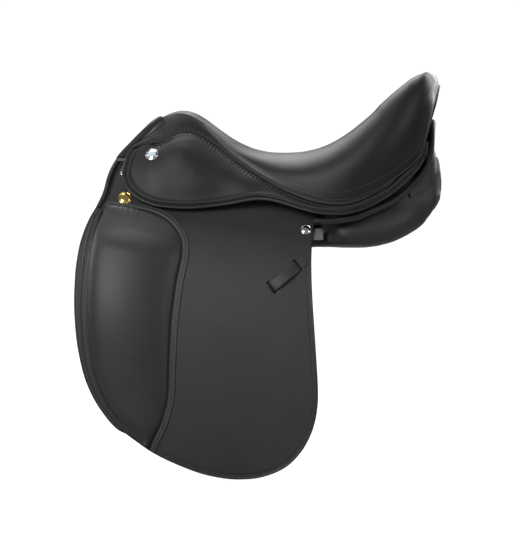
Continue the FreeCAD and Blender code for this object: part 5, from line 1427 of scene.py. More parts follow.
R = np.array([[(E[0], -E[1], E[2]), (M[0], -M[1], M[2]), (Q[0], -Q[1], Q[2]), (C[0], 0.0, C[2]), (Q[0], Q[1], Q[2]), (M[0], M[1], M[2]), (E[0], E[1], E[2])] for C, Q, M, E in SEAT_ROWS])
tv = np.concatenate([[0], np.cumsum(np.linalg.norm(np.diff(R, axis=1), axis=2).mean(0))])
tv = 2 * tv / tv[-1] - 1
tu = np.concatenate([[0], np.cumsum(np.linalg.norm(np.diff(R, axis=0), axis=2).mean(1))])
tu = tu / tu[-1]
Gu = nspline(tu, R)(np.linspace(0, 1, 45))
G = nspline(tv, Gu.transpose(1, 0, 2))(np.linspace(-1, 1, 29)).transpose(1, 0, 2)
for _ in range(3):
    H = G.copy()
    H[1:-1, 1:-1] = G[1:-1, 1:-1] + 0.5 * ((G[:-2, 1:-1] + G[2:, 1:-1] + G[1:-1, :-2] + G[1:-1, 2:]) / 4 - G[1:-1, 1:-1])
    G = H
SU, SV = 240, 170
D1 = nspline(np.linspace(0, 1, 45), G)(np.linspace(0, 1, SU + 1))
DG = nspline(np.linspace(-1, 1, 29), D1.transpose(1, 0, 2))(np.linspace(-1, 1, SV + 1)).transpose(1, 0, 2)


def grid_normals(G):
    a = np.gradient(G, axis=0)
    b = np.gradient(G, axis=1)
    n = np.cross(a, b)
    return n / np.maximum(np.linalg.norm(n, axis=2), 1e-9)[..., None]


DN = grid_normals(DG)
if DN[SU // 3, SV // 2, 2] < 0:
    DN = -DN
uu, vv = np.meshgrid(np.linspace(0, 1, SU + 1), np.linspace(-1, 1, SV + 1), indexing="ij")
edge_s = np.abs(np.cumsum(np.linalg.norm(np.diff(DG, axis=0, prepend=DG[:1]), axis=2), axis=0))
wid = np.cumsum(np.linalg.norm(np.diff(DG, axis=1, prepend=DG[:, :1]), axis=2), axis=1)
from_edge = np.minimum(wid, wid[:, -1:] - wid)
lift = 0.9 * fbm(DG[..., 0], DG[..., 1], DG[..., 2], 45.0, 3) * sstep(3, 20, from_edge)
lift = lift + 0.12 * fbm(DG[..., 0], DG[..., 1], DG[..., 2], 6.0, 2)
lift = lift + 0.35 * np.exp(-(from_edge / 6.0) ** 2) * (1 - np.exp(-(from_edge / 1.2) ** 2)) * np.cos(2 * np.pi * edge_s / 6.2)
# gathers over the top of the cantle
gx = DG[..., 0]
top = sstep(236, 262, gx) * np.exp(-(DG[..., 1] / 26.0) ** 2)
lift = lift + top * (0.9 * np.cos(DG[..., 1] / 5.4) ** 3 - 0.4) * sstep(0.80, 0.9, uu)
# short dart each side over the cantle's shoulder
ay = np.abs(DG[..., 1])
lift = lift - 1.9 * np.exp(-((ay - 45.0 - 0.25 * (gx - 258.0)) / 2.0) ** 2) * sstep(246, 252, gx) * (1 - sstep(266, 272, gx)) * sstep(585, 600, DG[..., 2])
lift = lift + 1.0 * np.exp(-((ay - 49.5 - 0.25 * (gx - 258.0)) / 3.2) ** 2) * sstep(246, 254, gx) * (1 - sstep(264, 272, gx)) * sstep(585, 600, DG[..., 2])
OUTG = DG + DN * lift[..., None]
ING = DG - DN * 2.0
CANTLE_LINE = [(156.0, 544.0), (171.6, 558.1), (187.2, 572.1), (202.8, 586.9), (218.4, 601.0), (229.4, 610.3), (238.7, 616.6), (248.1, 620.5), (255.9, 623.1), (263.7, 623.1), (269.9, 619.7), (275.4, 615.0), (279.0, 608.7), (280.2, 600.9), (279.9, 593.9), (277.7, 584.5), (275.4, 575.2), (272.3, 565.8), (269.3, 556.5), (266.8, 548.7)]
seat_fit = outline_fit(OUTG, (210.6, 531.5), CANTLE_LINE, 17.0, 118.0, 24.0, 2.5)
OUTG, ING, DG = seat_fit(OUTG), seat_fit(ING), seat_fit(DG)


def shell(name, A, B):
    nu, nv = A.shape[:2]
    V = np.concatenate([A.reshape(-1, 3), B.reshape(-1, 3)])
    F = grid_faces(nu, nv)
    base = nu * nv
    F += [tuple(base + k for k in f[::-1]) for f in grid_faces(nu, nv)]
    rim = [(0, j) for j in range(nv)] + [(i, nv - 1) for i in range(1, nu)] + [(nu - 1, j) for j in range(nv - 2, -1, -1)] + [(i, 0) for i in range(nu - 2, 0, -1)]
    ids = [i * nv + j for i, j in rim]
    for a, b in zip(ids, ids[1:] + ids[:1]):
        F.append((a, base + a, base + b, b))
    return mesh_object(name, world(V), F, weld=0.00001)


seat = shell("seat_cover_skin", OUTG, ING)
use(seat, M_SEAT, "seat_leather")
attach(seat, "saddle")
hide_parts("seat_cover")

# piping along the seat's lower seam, both sides
for k, sd in ((0, "left"), (-1, "right")):
    e = DG[:, k]
    n = DN[:, k]
    P = e + n * -0.6
    P = even_path(P, 2.5)
    o = tube_object("seat_piping_" + sd, P, 1.9, 1.9, up=(0, 1, 0), seg=12)
    use(o, M_EDGE, "leather")
    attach(o, "saddle")
    j = 5 if k == 0 else -6
    P = OUTG[4:-4, j]
    o = stitches("seat_seam_stitching_" + sd, P, DN[4:-4, j], length=3.0, gap=1.3, r=0.38, lift=0.05)
    use(o, M_THREAD, "leather")
    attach(o, "saddle")

# welt round the back of the cantle, with its stitches
W = DG[-1]
Wp = even_path(W, 2.0)
o = tube_object("cantle_welt", Wp + np.array([0.2, 0, -1.2]), 2.0, 2.0, up=(1, 0, 0.2), seg=14)
use(o, M_EDGE, "leather")
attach(o, "saddle")
o = stitches("cantle_welt_stitching", OUTG[-6, 3:-3], DN[-6, 3:-3], length=3.4, gap=1.4, r=0.45, lift=0.1)
use(o, M_THREAD, "leather")
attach(o, "saddle")

# ---------------------------------------------------------------- back of the cantle, rear roll, pommel roll

Wr = [SEAT_ROWS[-1][k] for k in range(4)]
ed = [(Wr[0][0] - 3.0, 0.0, Wr[0][2] - 9.0), (Wr[1][0] - 3.0, Wr[1][1] * 0.94, Wr[1][2] - 7.5), (Wr[2][0] - 4.0, Wr[2][1] * 0.93, Wr[2][2] - 5.0), (Wr[3][0] - 7.0, Wr[3][1] * 0.90, Wr[3][2] - 6.0)]
ex = nspline(range(-3, 4), np.array([(ed[abs(k)][0], math.copysign(ed[abs(k)][1], k) if k else 0.0, ed[abs(k)][2]) for k in range(-3, 4)]))
ts = np.linspace(-3, 3, 81)
topline = ex(ts)
A = []
for f in np.linspace(0, 1, 49):
    bot = np.stack([249.0 - 1.0 * np.abs(ts) / 3, topline[:, 1] * 0.98, 474.0 - 4.0 * np.abs(ts) / 3], 1)
    p = topline * (1 - f) + bot * f
    p[:, 0] += -5.0 * math.sin(math.pi * f) + 1.2 * fbm(p[:, 0], p[:, 1], p[:, 2], 24.0, 2) * math.sin(math.pi * f) + 0.5 * math.exp(-(f / 0.07) ** 2) * np.cos(p[:, 1] * 1.05)
    A.append(p)
A = seat_fit(np.array(A))
o = shell("cantle_back_skin", A, A - np.array([2.4, 0, -0.8]))
use(o, M_SEAT, "leather")
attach(o, "saddle")
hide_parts("cantle_back")

strip = np.array([(p[0], -p[1], p[2]) for p in STRIP[:-1]] + [(STRIP[-1][0], 0.0, STRIP[-1][2])] + [(p[0], p[1], p[2]) for p in STRIP[-2::-1]])
sp = smooth_path(strip, 2.0)
ss = arclen(sp)
rr = 4.9 + 0.18 * np.cos(2 * np.pi * ss / 6.5) * (0.6 + 0.4 * np.sin(ss / 31.0)) + 0.25 * fbm(sp[:, 0], sp[:, 1], sp[:, 2], 30.0, 2)
ro = tube_object("rear_facing_roll", sp, rr, rr, up=(0, 0, 1), seg=24)
use(ro, M_SKIRT, "leather")
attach(ro, "saddle")
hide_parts("rear_strip")
T = np.gradient(sp, axis=0)
T /= np.linalg.norm(T, axis=1)[:, None]
Nn = np.cross(T, np.array([0, 0, 1.0]))
Nn /= np.linalg.norm(Nn, axis=1)[:, None]
outw = np.sign((Nn * (sp - np.array([120.0, 0, 420.0]))).sum(1))[:, None]
Nn = Nn * outw
Nd = Nn * 0.86 + np.array([0, 0, -0.5])
Nd /= np.linalg.norm(Nd, axis=1)[:, None]
o = stitches("rear_facing_stitching", (sp + Nd * 4.9)[4:-4], Nd[4:-4], length=3.2, gap=1.3, r=0.42, lift=0.1)
use(o, M_THREAD, "leather")
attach(o, "saddle")

INSET = (0, 0, 0, 0, 1.0, 4.9, 8.6, 10.8, 8.2, 3.5, 0, 0, 0, 0)
PF = [(p[0] - (2.6 if k < 4 else 0.0), p[1] - INSET[k], p[2] - (1.6 if k < 4 else 0.0)) for k, p in enumerate(PFACE)]
pface = np.array([(p[0], -p[1], p[2]) for p in reversed(PF[1:])] + [(PF[0][0], 0.0, PF[0][2])] + [(p[0], p[1], p[2]) for p in PF[1:]])
pp = smooth_path(pface, 2.0)
sp2 = arclen(pp)
rr = 3.5 + 0.12 * np.cos(2 * np.pi * sp2 / 6.0)
o = tube_object("pommel_facing_roll", pp, rr, rr, up=(1, 0, 0), seg=20)
use(o, M_SKIRT, "leather")
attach(o, "saddle")
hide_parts("pommel_roll")
T = np.gradient(pp, axis=0)
T /= np.linalg.norm(T, axis=1)[:, None]
Nn = np.cross(T, np.array([1.0, 0, 0]))
Nn /= np.linalg.norm(Nn, axis=1)[:, None]
Nn *= np.sign((Nn * (pp - np.array([-200, 0, 420.0]))).sum(1))[:, None]
Nd = Nn * 0.8 + np.array([0.35, 0, 0.0])
Nd /= np.linalg.norm(Nd, axis=1)[:, None]
o = stitches("pommel_facing_stitching", (pp + Nd * 3.5)[4:-4], Nd[4:-4], length=3.0, gap=1.2, r=0.38, lift=0.1)
use(o, M_THREAD, "leather")
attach(o, "saddle")

hf = tuple((PF[4][k] + PF[5][k]) / 2 for k in range(3))
sp3 = smooth_path([(p[0] + 8.5, -(p[1] - 0.5), p[2] + 0.4) for p in PF[2:5] + [hf]], 1.5)
V1 = tube_mesh("s", sp3, 1.7, 1.5, up=(1, 0, 0), seg=14)
V1 = np.concatenate(V1)
V2 = V1 * np.array([1, -1, 1])
n1 = len(V1)
F1 = grid_faces(n1 // 14, 14, closed_c=True)
F = F1 + [tuple(n1 + k for k in f[::-1]) for f in F1]
o = mesh_object("pommel_edge_strips", world(np.concatenate([V1, V2])), F, weld=0.00001)
use(o, M_EDGE, "leather")
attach(o, "saddle")
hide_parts("pommel_strips")

# ---------------------------------------------------------------- panels

def copy_of(node, name):
    src = frame["nodes"][node]
    me = src.data.copy()
    me.name = name
    o = bpy.data.objects.new(name, me)
    bpy.context.scene.collection.objects.link(o)
    o.data.materials.clear()
    return o


def co_of(me):
    a = np.zeros(len(me.vertices) * 3, np.float32)
    me.vertices.foreach_get("co", a)
    return a.reshape(-1, 3).astype(float)


def set_co(me, a):
    me.vertices.foreach_set("co", np.asarray(a, np.float32).ravel())
    me.update()


def bake(o):
    dg = bpy.context.evaluated_depsgraph_get()
    me = bpy.data.meshes.new_from_object(o.evaluated_get(dg))
    o.modifiers.clear()
    old = o.data
    o.data = me
    bpy.data.meshes.remove(old)
    me.polygons.foreach_set("use_smooth", [True] * len(me.polygons))
    return o


def inflate(o, voxel=0.006, shrink=0.0025, pressure=4.0, cap=0.008, frames=20):
    """Padded form by cloth simulation: remesh, draw in, blow up with air pressure, cap the movement, apply."""
    md = o.modifiers.new("remesh", "REMESH")
    md.mode = "VOXEL"
    md.voxel_size = voxel
    bake(o)
    me = o.data
    P = co_of(me)
    N = np.array([v.normal[:] for v in me.vertices])
    start = P - N * shrink
    set_co(me, start)
    cl = o.modifiers.new("cloth", "CLOTH")
    cl.settings.use_pressure = True
    cl.settings.uniform_pressure_force = pressure
    cl.settings.effector_weights.gravity = 0
    cl.settings.quality = 6
    cl.settings.mass = 0.3
    cl.settings.tension_stiffness = 15
    cl.settings.compression_stiffness = 15
    cl.settings.bending_stiffness = 0.6
    sc = bpy.context.scene
    for f in range(1, frames + 1):
        sc.frame_set(f)
    dg = bpy.context.evaluated_depsgraph_get()
    ev = o.evaluated_get(dg)
    E = co_of(ev.data)
    o.modifiers.clear()
    M = E - start
    L = np.linalg.norm(M, axis=1)
    k = np.where(L > cap, cap / np.maximum(L, 1e-9), 1.0)
    new = start + M * k[:, None]
    sc.frame_set(1)
    set_co(me, new)
    # even the surface out
    bm = bmesh.new()
    bm.from_mesh(me)
    for _ in range(2):
        bmesh.ops.smooth_vert(bm, verts=bm.verts, factor=0.5, use_axis_x=True, use_axis_y=True, use_axis_z=True)
    bm.to_mesh(me)
    bm.free()
    me.update()
    return o


def keep_inside(me, lim):
    """Holds points (metres) under the half-width limit lim(x, z) in mm, soft near it, on the left side."""
    P = co_of(me) * 1000.0 - SHIFT
    h = -P[:, 1]
    m = lim(P[:, 0], P[:, 2])
    over = h - (m - 3)
    h = np.where(over > 0, m - 3 * np.exp(-np.maximum(over, 0) / 3.0), h)
    P[:, 1] = -h
    set_co(me, world(P))


pan = copy_of("panel_left", "panel_pad")
bm = bmesh.new()
bm.from_mesh(pan.data)
bmesh.ops.remove_doubles(bm, verts=bm.verts, dist=0.00005)
bm.to_mesh(pan.data)
bm.free()
inflate(pan, voxel=0.0055, shrink=0.0012, pressure=4.5, cap=0.0034)
PB = co_of(pan.data)
lo_x = PB[:, 0].min()


def panel_limit(x, z):
    return np.where(x < 100, side(x, z) - 20.5 - 5.0 * (1 - sstep(-95, -65, x)), 400.0)


keep_inside(pan.data, panel_limit)
md = pan.modifiers.new("sub", "SUBSURF")
md.levels = md.render_levels = 1
bake(pan)
# soft wrinkles over the pad, weaker towards the front
P = co_of(pan.data) * 1000.0 - SHIFT
N = np.array([v.normal[:] for v in pan.data.vertices])
w = 1.3 * fbm(P[:, 0], P[:, 1], P[:, 2], 38.0, 3) + 0.35 * fbm(P[:, 0], P[:, 1], P[:, 2], 9.0, 2)
P = P + N * (w * sstep(90, 130, P[:, 0]) + 0.4 * w * (1 - sstep(90, 130, P[:, 0])))[:, None]
PAD_LINE = [(280.0, 520.5), (276.1, 503.4), (279.2, 484.7), (282.5, 466.0), (283.6, 447.3), (283.2, 437.0), (281.0, 424.0), (277.0, 415.0), (273.0, 409.8), (260.6, 391.1), (251.2, 381.7), (237.2, 372.4), (220.0, 363.0), (195.0, 353.6), (156.0, 350.5), (125.0, 350.5), (94.0, 350.5)]
pad_fit = outline_fit(P, (156.0, 437.9), PAD_LINE, -100.0, 22.0, 16.0, 2.5)
P = pad_fit(P)
set_co(pan.data, world(P))
seat_both(pan, "panel_pad", M_PANEL, "panel_leather", "saddle", ("panel",))

# channel lining: thin woven strip over the middle
A = []
for x in np.linspace(-140, 240, 120):
    zz = 505.0 - 60.0 * sstep(-140, -40, x) + 8.0 * sstep(120, 240, x) - 8.0 * sstep(0, 60, x)
    k = np.linspace(-2, 2, 25)
    A.append(np.stack([np.full(25, x), 12.0 * k, zz - 1.5 * np.abs(k) + 0.35 * np.sin(x / 9.0 + k)], 1))
A = np.array(A)
o = shell("channel_lining_strip", A, A - np.array([0, 0, 1.8]))
use(o, M_WEB, "webbing")
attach(o, "saddle")
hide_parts("channel_lining")

# ---------------------------------------------------------------- girth straps and their webs

def strap(name, xc, ztop, zbot, w=25.0, o0=-8.2, t=4.0):
    """Billet with rounded edges and eight punched holes, triangulated flat and laid on the side of the saddle."""
    hw = w / 2
    segs = [[(xc - hw, ztop), (xc - hw, zbot + 14)], [(xc - hw, zbot + 14), (xc - hw * 0.55, zbot + 4), (xc, zbot), (xc + hw * 0.55, zbot + 4), (xc + hw, zbot + 14)], [(xc + hw, zbot + 14), (xc + hw, ztop)], [(xc + hw, ztop), (xc + hw * 0.5, ztop + 2.2), (xc, ztop + 3.0), (xc - hw * 0.5, ztop + 2.2), (xc - hw, ztop)]]
    E = closed_outline(segs, 2.0, 1)
    N = loop_normals(E)
    n = len(E)
    insets = [(0.0, 0.5), (0.25, 0.22), (0.8, 0.04), (1.3, 0.0)]
    inner = E + N * 1.3
    crease = E + N * 3.4
    crease2 = E + N * 4.2
    pts = [tuple(q) for q in inner]
    edges = [(i, (i + 1) % n) for i in range(n)]
    k0 = len(pts)
    pts += [tuple(q) for q in crease] + [tuple(q) for q in crease2]
    holes = []
    for k in range(8):
        z = 66.0 + 22.0 * k
        loop = [(xc + 2.25 * math.cos(a), z + 2.25 * math.sin(a)) for a in np.linspace(0, 2 * np.pi, 18, endpoint=False)]
        rim = [(xc + 2.75 * math.cos(a), z + 2.75 * math.sin(a)) for a in np.linspace(0, 2 * np.pi, 18, endpoint=False)]
        i0 = len(pts)
        pts += loop
        holes.append((z, list(range(i0, i0 + 18))))
        edges += [(i0 + i, i0 + (i + 1) % 18) for i in range(18)]
        pts += rim
    for zz in np.arange(zbot + 12, ztop - 4, 6.0):
        for xx in (-5.5, 0.0, 5.5):
            if min([abs(zz - z) for z, _ in holes]) > 4.0 or abs(xx) > 4.5:
                pts.append((xc + xx, zz))
    res = delaunay_2d_cdt([Vector(p) for p in pts], edges, [], 1, 1e-6)
    P2 = np.array([(v.x, v.y) for v in res[0]])
    orig = res[3]
    tris = []
    for f in res[2]:
        c = P2[list(f)].mean(0)
        if any((c[0] - xc) ** 2 + (c[1] - z) ** 2 < 2.2 ** 2 for z, _ in holes):
            continue
        tris.append(tuple(f))
    back = {}
    for i, o_ in enumerate(orig):
        for q in o_:
            back[q] = i
    Lp = np.concatenate([E, E[:1]])
    dd, _ = dist_to(P2, Lp)
    h = side(P2[:, 0], P2[:, 1]) + o0 - 0.30 * np.exp(-((dd - 3.8) / 0.45) ** 2)
    for z, _ in holes:
        rad = np.hypot(P2[:, 0] - xc, P2[:, 1] - z)
        h = h - 0.28 * np.exp(-((rad - 2.25) / 0.25) ** 2)
    top = np.stack([P2[:, 0], -h, P2[:, 1]], 1)
    bot = np.stack([P2[:, 0], -(side(P2[:, 0], P2[:, 1]) + o0 - t), P2[:, 1]], 1)
    m = len(P2)
    V = [top, bot]
    F = tris + [tuple(m + i for i in f[::-1]) for f in tris]
    base = 2 * m
    rings = []
    for ins, dn in insets[:-1]:
        q = E + N * ins
        hh = side(q[:, 0], q[:, 1]) + o0
        V.append(np.stack([q[:, 0], -(hh - t * dn), q[:, 1]], 1))
        rings.append(list(range(base, base + n)))
        base += n
    for ins, dn in insets[:-1][1:]:
        q = E + N * ins
        hh = side(q[:, 0], q[:, 1]) + o0
        V.append(np.stack([q[:, 0], -(hh - t * (1 - dn)), q[:, 1]], 1))
        rings.append(list(range(base, base + n)))
        base += n
    itop = [back[i] for i in range(n)]
    ibot = [m + back[i] for i in range(n)]
    order = [itop, rings[2], rings[1], rings[0], rings[3], rings[4], ibot]
    for A_, B_ in zip(order, order[1:]):
        for i in range(n):
            j = (i + 1) % n
            F.append((A_[i], A_[j], B_[j], B_[i]))
    for z, ids in holes:
        for i in range(18):
            a_, b_ = back[ids[i]], back[ids[(i + 1) % 18]]
            F.append((a_, b_, m + b_, m + a_))
    return mesh_object(name, world(np.concatenate(V)), F, weld=1e-7)


for nm, xc, zt, in (("front", -78.0, 362.0), ("rear", -4.0, 352.0)):
    o = strap(nm, xc, zt, 44.0)
    seat_both(o, nm + "_girth_billet", M_FLAP, "leather", nm + "_strap", (nm + "_girth_strap",))
    q = even_path(np.array([(xc - 9.4, zt - 4), (xc - 9.4, zt - 46), (xc + 9.4, zt - 46), (xc + 9.4, zt - 4), (xc - 9.4, zt - 4), (xc + 9.4, zt - 46)]), 1.0)
    st = stitch_on("bst", q, lambda x, z: side(x, z) - 8.2, lift=0.05, length=3.0, gap=1.2, r=0.4)
    seat_both(st, nm + "_billet_stitching", M_THREAD, "leather", nm + "_strap")


def web_piece(name, xc, w, z0, z1, o0, t=2.0):
    hw = w / 2
    zz = np.arange(z0, z1 + 0.1, 2.0)
    xx = np.linspace(xc - hw, xc + hw, 19)
    X, Z = np.meshgrid(xx, zz)
    rib = 0.18 * np.cos((X - xc) * 2 * np.pi / 2.6) + 0.10 * np.cos(Z * 2 * np.pi / 4.0)
    selv = 0.25 * np.exp(-((np.abs(X - xc) - hw) / 1.0) ** 2)
    h = side(X, Z) + o0 + rib + selv
    A = np.stack([X, -h, Z], 2)
    B = np.stack([X, -(h - t), Z], 2)
    return shell(name, A, B)


for nm, xc, z0, z1 in (("front", -78.0, 367.5, 448.0), ("rear", -4.0, 357.5, 428.0)):
    o = web_piece("w", xc, 24.0, z0, z1, -9.0)
    seat_both(o, nm + "_web_tape", M_WEB, "webbing", "saddle", (nm + "_strap_web",))

# pale folded tab at the rear edge of the flap: a loop of tape folded round at its rear end
lx0, lx1, lz0, lz1 = 74.0, LOOP[1][0] + 0.5, LOOP[0][1], LOOP[1][1]


def tape_loop(name, x0, x1, z0, z1, o0, t=2.0):
    """Short tape seen side on: two layers and a round fold at its rear end."""
    zz = np.linspace(z1, z0, 25)
    out = []
    for z in zz:
        row = []
        ln = np.linspace(x0, x1 - t / 2, 12)
        for x in ln:
            row.append((x, o0 + 0.12 * math.cos(z * 2.4)))
        for p in np.linspace(0, math.pi, 7)[1:-1]:
            row.append((x1 - t / 2 + t / 2 * math.sin(p), o0 - t / 2 + t / 2 * math.cos(p)))
        for x in ln[::-1]:
            row.append((x, o0 - t))
        out.append([(x, -(float(side(x, z)) + h), z) for x, h in row])
    G3 = np.array(out)
    n, m = G3.shape[:2]
    F = grid_faces(n, m, closed_c=True)
    F.append(tuple(range(m))[::-1])
    F.append(tuple((n - 1) * m + j for j in range(m)))
    return mesh_object(name, world(G3.reshape(-1, 3)), F, weld=0.00001)


o = tape_loop("rl", lx0, lx1, lz0, lz1, -5.8)
seat_both(o, "rear_web_tab", M_PALE, "pale_webbing", "saddle", ("rear_web_loop",))
fl = ribbon("ftab", even_path(np.array([(-200.2, 481.2), (-218.4, 481.2)]), 1.0), even_path(np.array([(-200.2, 486.0), (-218.4, 486.0)]), 1.0), lambda x, z: side(x, z) + 2.9, 2.2, ((0.3,), 6), r=0.9, detail=lambda x, z, a, b, s: 0.10 * np.cos(x * 3.4), end=1.2)
seat_both(fl, "front_web_tab", M_PALE, "pale_webbing", "saddle", ("front_web_loop",))

# ---------------------------------------------------------------- nails: plain domed heads with a rolled rim

def lathe(prof, f, x, z, seg=44):
    e = 0.5
    hx = float(f(x + e, z) - f(x - e, z)) / (2 * e)
    hz = float(f(x, z + e) - f(x, z - e)) / (2 * e)
    n = np.array([-hx, -1.0, -hz])
    n /= np.linalg.norm(n)
    a1 = np.array([1.0, 0, 0]) - n * n[0]
    a1 /= np.linalg.norm(a1)
    a2 = np.cross(n, a1)
    o = np.array([x, -float(f(x, z)), z])
    a = np.linspace(0, 2 * np.pi, seg, endpoint=False)
    V = []
    for r, h in prof:
        V.append(o + n * h + r * (np.cos(a)[:, None] * a1 + np.sin(a)[:, None] * a2))
    return np.concatenate(V), grid_faces(len(prof), seg, closed_c=True)


def pair_of(name, V, F, mat, slot, repl=()):
    n = len(V)
    W = np.concatenate([V, V * np.array([1, -1, 1])])
    o = mesh_object(name, world(W), F + [tuple(n + k for k in f[::-1]) for f in F], weld=0.000005)
    use(o, mat, slot)
    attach(o, "saddle")
    if repl:
        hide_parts(*repl)
    return o


def nail_profile(r, h, shank):
    p = [(0.0, h)]
    for t in np.linspace(0.12, 1.0, 9):
        a = t * math.pi / 2
        p.append((r * 0.80 * math.sin(a), 1.35 + (h - 1.35) * math.cos(a)))
    p += [(r * 0.825, 1.0)]
    for t in np.linspace(math.pi, -0.15 * math.pi, 9):
        p.append((r * 0.915 + r * 0.085 * math.cos(t), 1.15 + 0.85 * math.sin(t)))
    p += [(r, 0.7), (r * 0.985, 0.25), (1.6, 0.25), (1.6, -shank), (0.0, -shank)]
    return p


for nm, r, h, sh, f, (x, z), mt, sl in (("front_nails", 10.6, 3.6, 6.0, side, STUD_GOLD, M_BRASS, "brass_nails"), ("upper_nails", 8.0, 2.3, 6.0, side, STUD_POINT, M_NICKEL, "nickel_nails"), ("rear_nails", 8.4, 3.2, 4.6, side, STUD_REAR, M_NICKEL, "nickel_nails"), ("skirt_nails", 10.3, 3.8, 5.0, skirt_f, (STUD_SKIRT[0], STUD_SKIRT[2]), M_NICKEL, "nickel_nails")):
    V, F = lathe(nail_profile(r, h, sh), f, x, z)
    pair_of(nm[:-1] + "_pair", V, F, mt, sl, (nm,))
    if nm == "skirt_nails":
        prof = [(0.0, h + 0.25)] + [(r * 0.74 * math.sin(a), 1.5 + (h - 1.25) * math.cos(a)) for a in np.linspace(0.15, math.pi / 2, 9)] + [(r * 0.72, 0.9), (0.0, 0.9)]
        V, F = lathe(prof, f, x, z)
        pair_of("skirt_nail_enamel", V, F, M_ENAMEL, "nickel_nails")

# ---------------------------------------------------------------- facing between the front roll, the skirt's corner and the flap's front edge

def loft3(name, A, B, rows, thick, lift):
    """Sheet between two matched 3-D curves; lift(f, s) raises it along its outward side (left)."""
    s = arclen((A + B) / 2)
    G3 = []
    for f in np.linspace(0, 1, rows):
        G3.append(A * (1 - f) + B * f)
    G3 = np.array(G3).transpose(1, 0, 2)
    n = grid_normals(G3)
    if n[..., 1].mean() > 0:
        n = -n
    ff = np.linspace(0, 1, rows)[None, :] * np.ones((len(A), 1))
    top = G3 + n * lift(ff, s[:, None] * np.ones_like(ff))[..., None]
    return shell(name, top, top - n * thick), top, n


ra = [(PF[k][0] + 1.0, PF[k][1] + 1.2, PF[k][2] - 0.6) for k in range(1, 14)]
fa = [(-154.8, 33.0, 545.8), (-158.6, 41.0, 536.0), (-163.0, 47.5, 522.0), (-174.0, 50.5, 513.5), (-187.0, 52.5, 507.5), (-196.0, 53.0, 500.0)]
for (x, z) in ((-203.0, 488.0), (-213.0, 474.0), (-221.5, 456.0), (-227.0, 440.0), (-231.5, 424.0), (-236.0, 413.5)):
    fa.append((x, float(side(x, z)) - 5.4, z))
RA = smooth_path([(ra[0][0], ra[0][1], ra[0][2])] + ra[1:-1], 2.0)
FA = even_path(smooth_path(fa, 1.0), n=len(RA) - 1)
fc, ftop, fn = loft3("pommel_facing_panel", RA, FA, 22, 1.8, lambda f, s: 0.9 * np.exp(-((f - 0.42) / 0.10) ** 2) - 0.7 * np.exp(-((f - 0.60) / 0.05) ** 2) + 0.9 * np.exp(-((f - 0.78) / 0.12) ** 2) + 0.15 * np.cos(2 * np.pi * s / 6.0) * np.exp(-((f - 0.6) / 0.15) ** 2))
seat_both(fc, "pommel_facing_panel", M_SKIRT, "leather", "saddle")
st = stitches("pfst", ftop[5:-5, 12], fn[5:-5, 12], length=3.0, gap=1.2, r=0.42, lift=0.2)
seat_both(st, "pommel_facing_panel_stitching", M_THREAD, "leather", "saddle")

# ---------------------------------------------------------------- gusset that closes the rear between the roll and the panels

ga = [(STRIP[k][0] - 3.0, STRIP[k][1] - 6.5, STRIP[k][2] - 1.5) for k in range(7, 13)]
ga = [(x, -h, z) for x, h, z in ga] + [(STRIP[-1][0] - 1.5, 0.0, STRIP[-1][2] - 2.0)] + ga[::-1]
gb = [(231.0, 86.0, 424.0), (249.0, 78.0, 436.0), (263.0, 65.0, 451.0), (271.5, 51.0, 464.0), (274.5, 37.0, 472.0), (272.5, 23.0, 476.0), (268.0, 0.0, 480.0)]
gb = [(x, -h, z) for x, h, z in gb] + [p for p in gb[:-1]][::-1]
GA = smooth_path(ga, 2.5)
GB = even_path(smooth_path(gb, 1.0), n=len(GA) - 1)
rows = []
for f in np.linspace(0, 1, 26):
    r_ = GA * (1 - f) + GB * f
    r_[:, 0] += 2.6 * np.sin(np.pi * np.clip(f * 0.9, 0, 1)) * sstep(225, 262, r_[:, 0]) + 0.6 * fbm(r_[:, 0], r_[:, 1], r_[:, 2], 22.0, 2) + 0.4 * np.exp(-((f - 0.1) / 0.1) ** 2) * np.cos(arclen(GA) * 2 * np.pi / 6.4)
    rows.append(r_)
G4 = np.array(rows)
o = shell("rear_gusset", G4, G4 - np.array([2.2, 0, 0.0]))
use(o, M_PANEL, "panel_leather")
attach(o, "saddle")

co_ = ribbon("rcg", even_path(np.array([(236.0, 476.0), (247.0, 478.0), (258.0, 482.0)]), 1.5), even_path(np.array([(238.0, 505.0), (248.0, 508.0), (259.0, 511.0)]), 1.5), lambda x, z: 64.0 + 0.0 * x, 2.2, ((0.4, 1.0), 10), r=0.9, detail=lambda x, z, a, b, s: 0.5 * fbm(x, 0 * x, z, 14.0, 2))
seat_both(co_, "rear_corner_gusset", M_PANEL, "panel_leather", "saddle")

# flat bound strips down the pommel's front, each side
SO = [(-153.0, 551.9), (-161.6, 545.4), (-170.0, 538.8), (-185.4, 525.6), (-200.5, 509.8), (-215.9, 493.4), (-221.6, 485.6)]
SI = [(-146.6, 547.6), (-155.3, 540.3), (-164.4, 532.4), (-179.4, 518.4), (-194.4, 503.6), (-206.4, 491.0), (-210.4, 486.0)]
so_, si_ = smooth_path(SO, 1.0), smooth_path(SI, 1.0)
so_, si_ = even_path(so_, n=110), even_path(si_, n=110)


def strip_h(x, z):
    return np.interp(z, [480.0, 493.0, 509.0, 525.0, 538.0, 552.0], [59.0, 58.0, 56.5, 53.0, 48.0, 41.0])


fs_ = ribbon("pfs", si_, so_, strip_h, 3.0, ((0.3, 0.7, 1.2, 1.8, 2.4), 6), r=1.0, detail=lambda x, z, a, b, s: -0.45 * np.exp(-((a - 1.9) / 0.45) ** 2) - 0.45 * np.exp(-((b - 1.9) / 0.45) ** 2) + 0.05 * np.cos(2 * np.pi * s / 4.6))
seat_both(fs_, "pommel_flat_strip", M_SKIRT, "leather", "saddle")
mid_ = 0.74 * so_ + 0.26 * si_
st = stitch_on("pfss", mid_[4:-4], strip_h, lift=0.15, length=3.0, gap=1.3, r=0.40)
seat_both(st, "pommel_flat_strip_stitching", M_THREAD, "leather", "saddle")

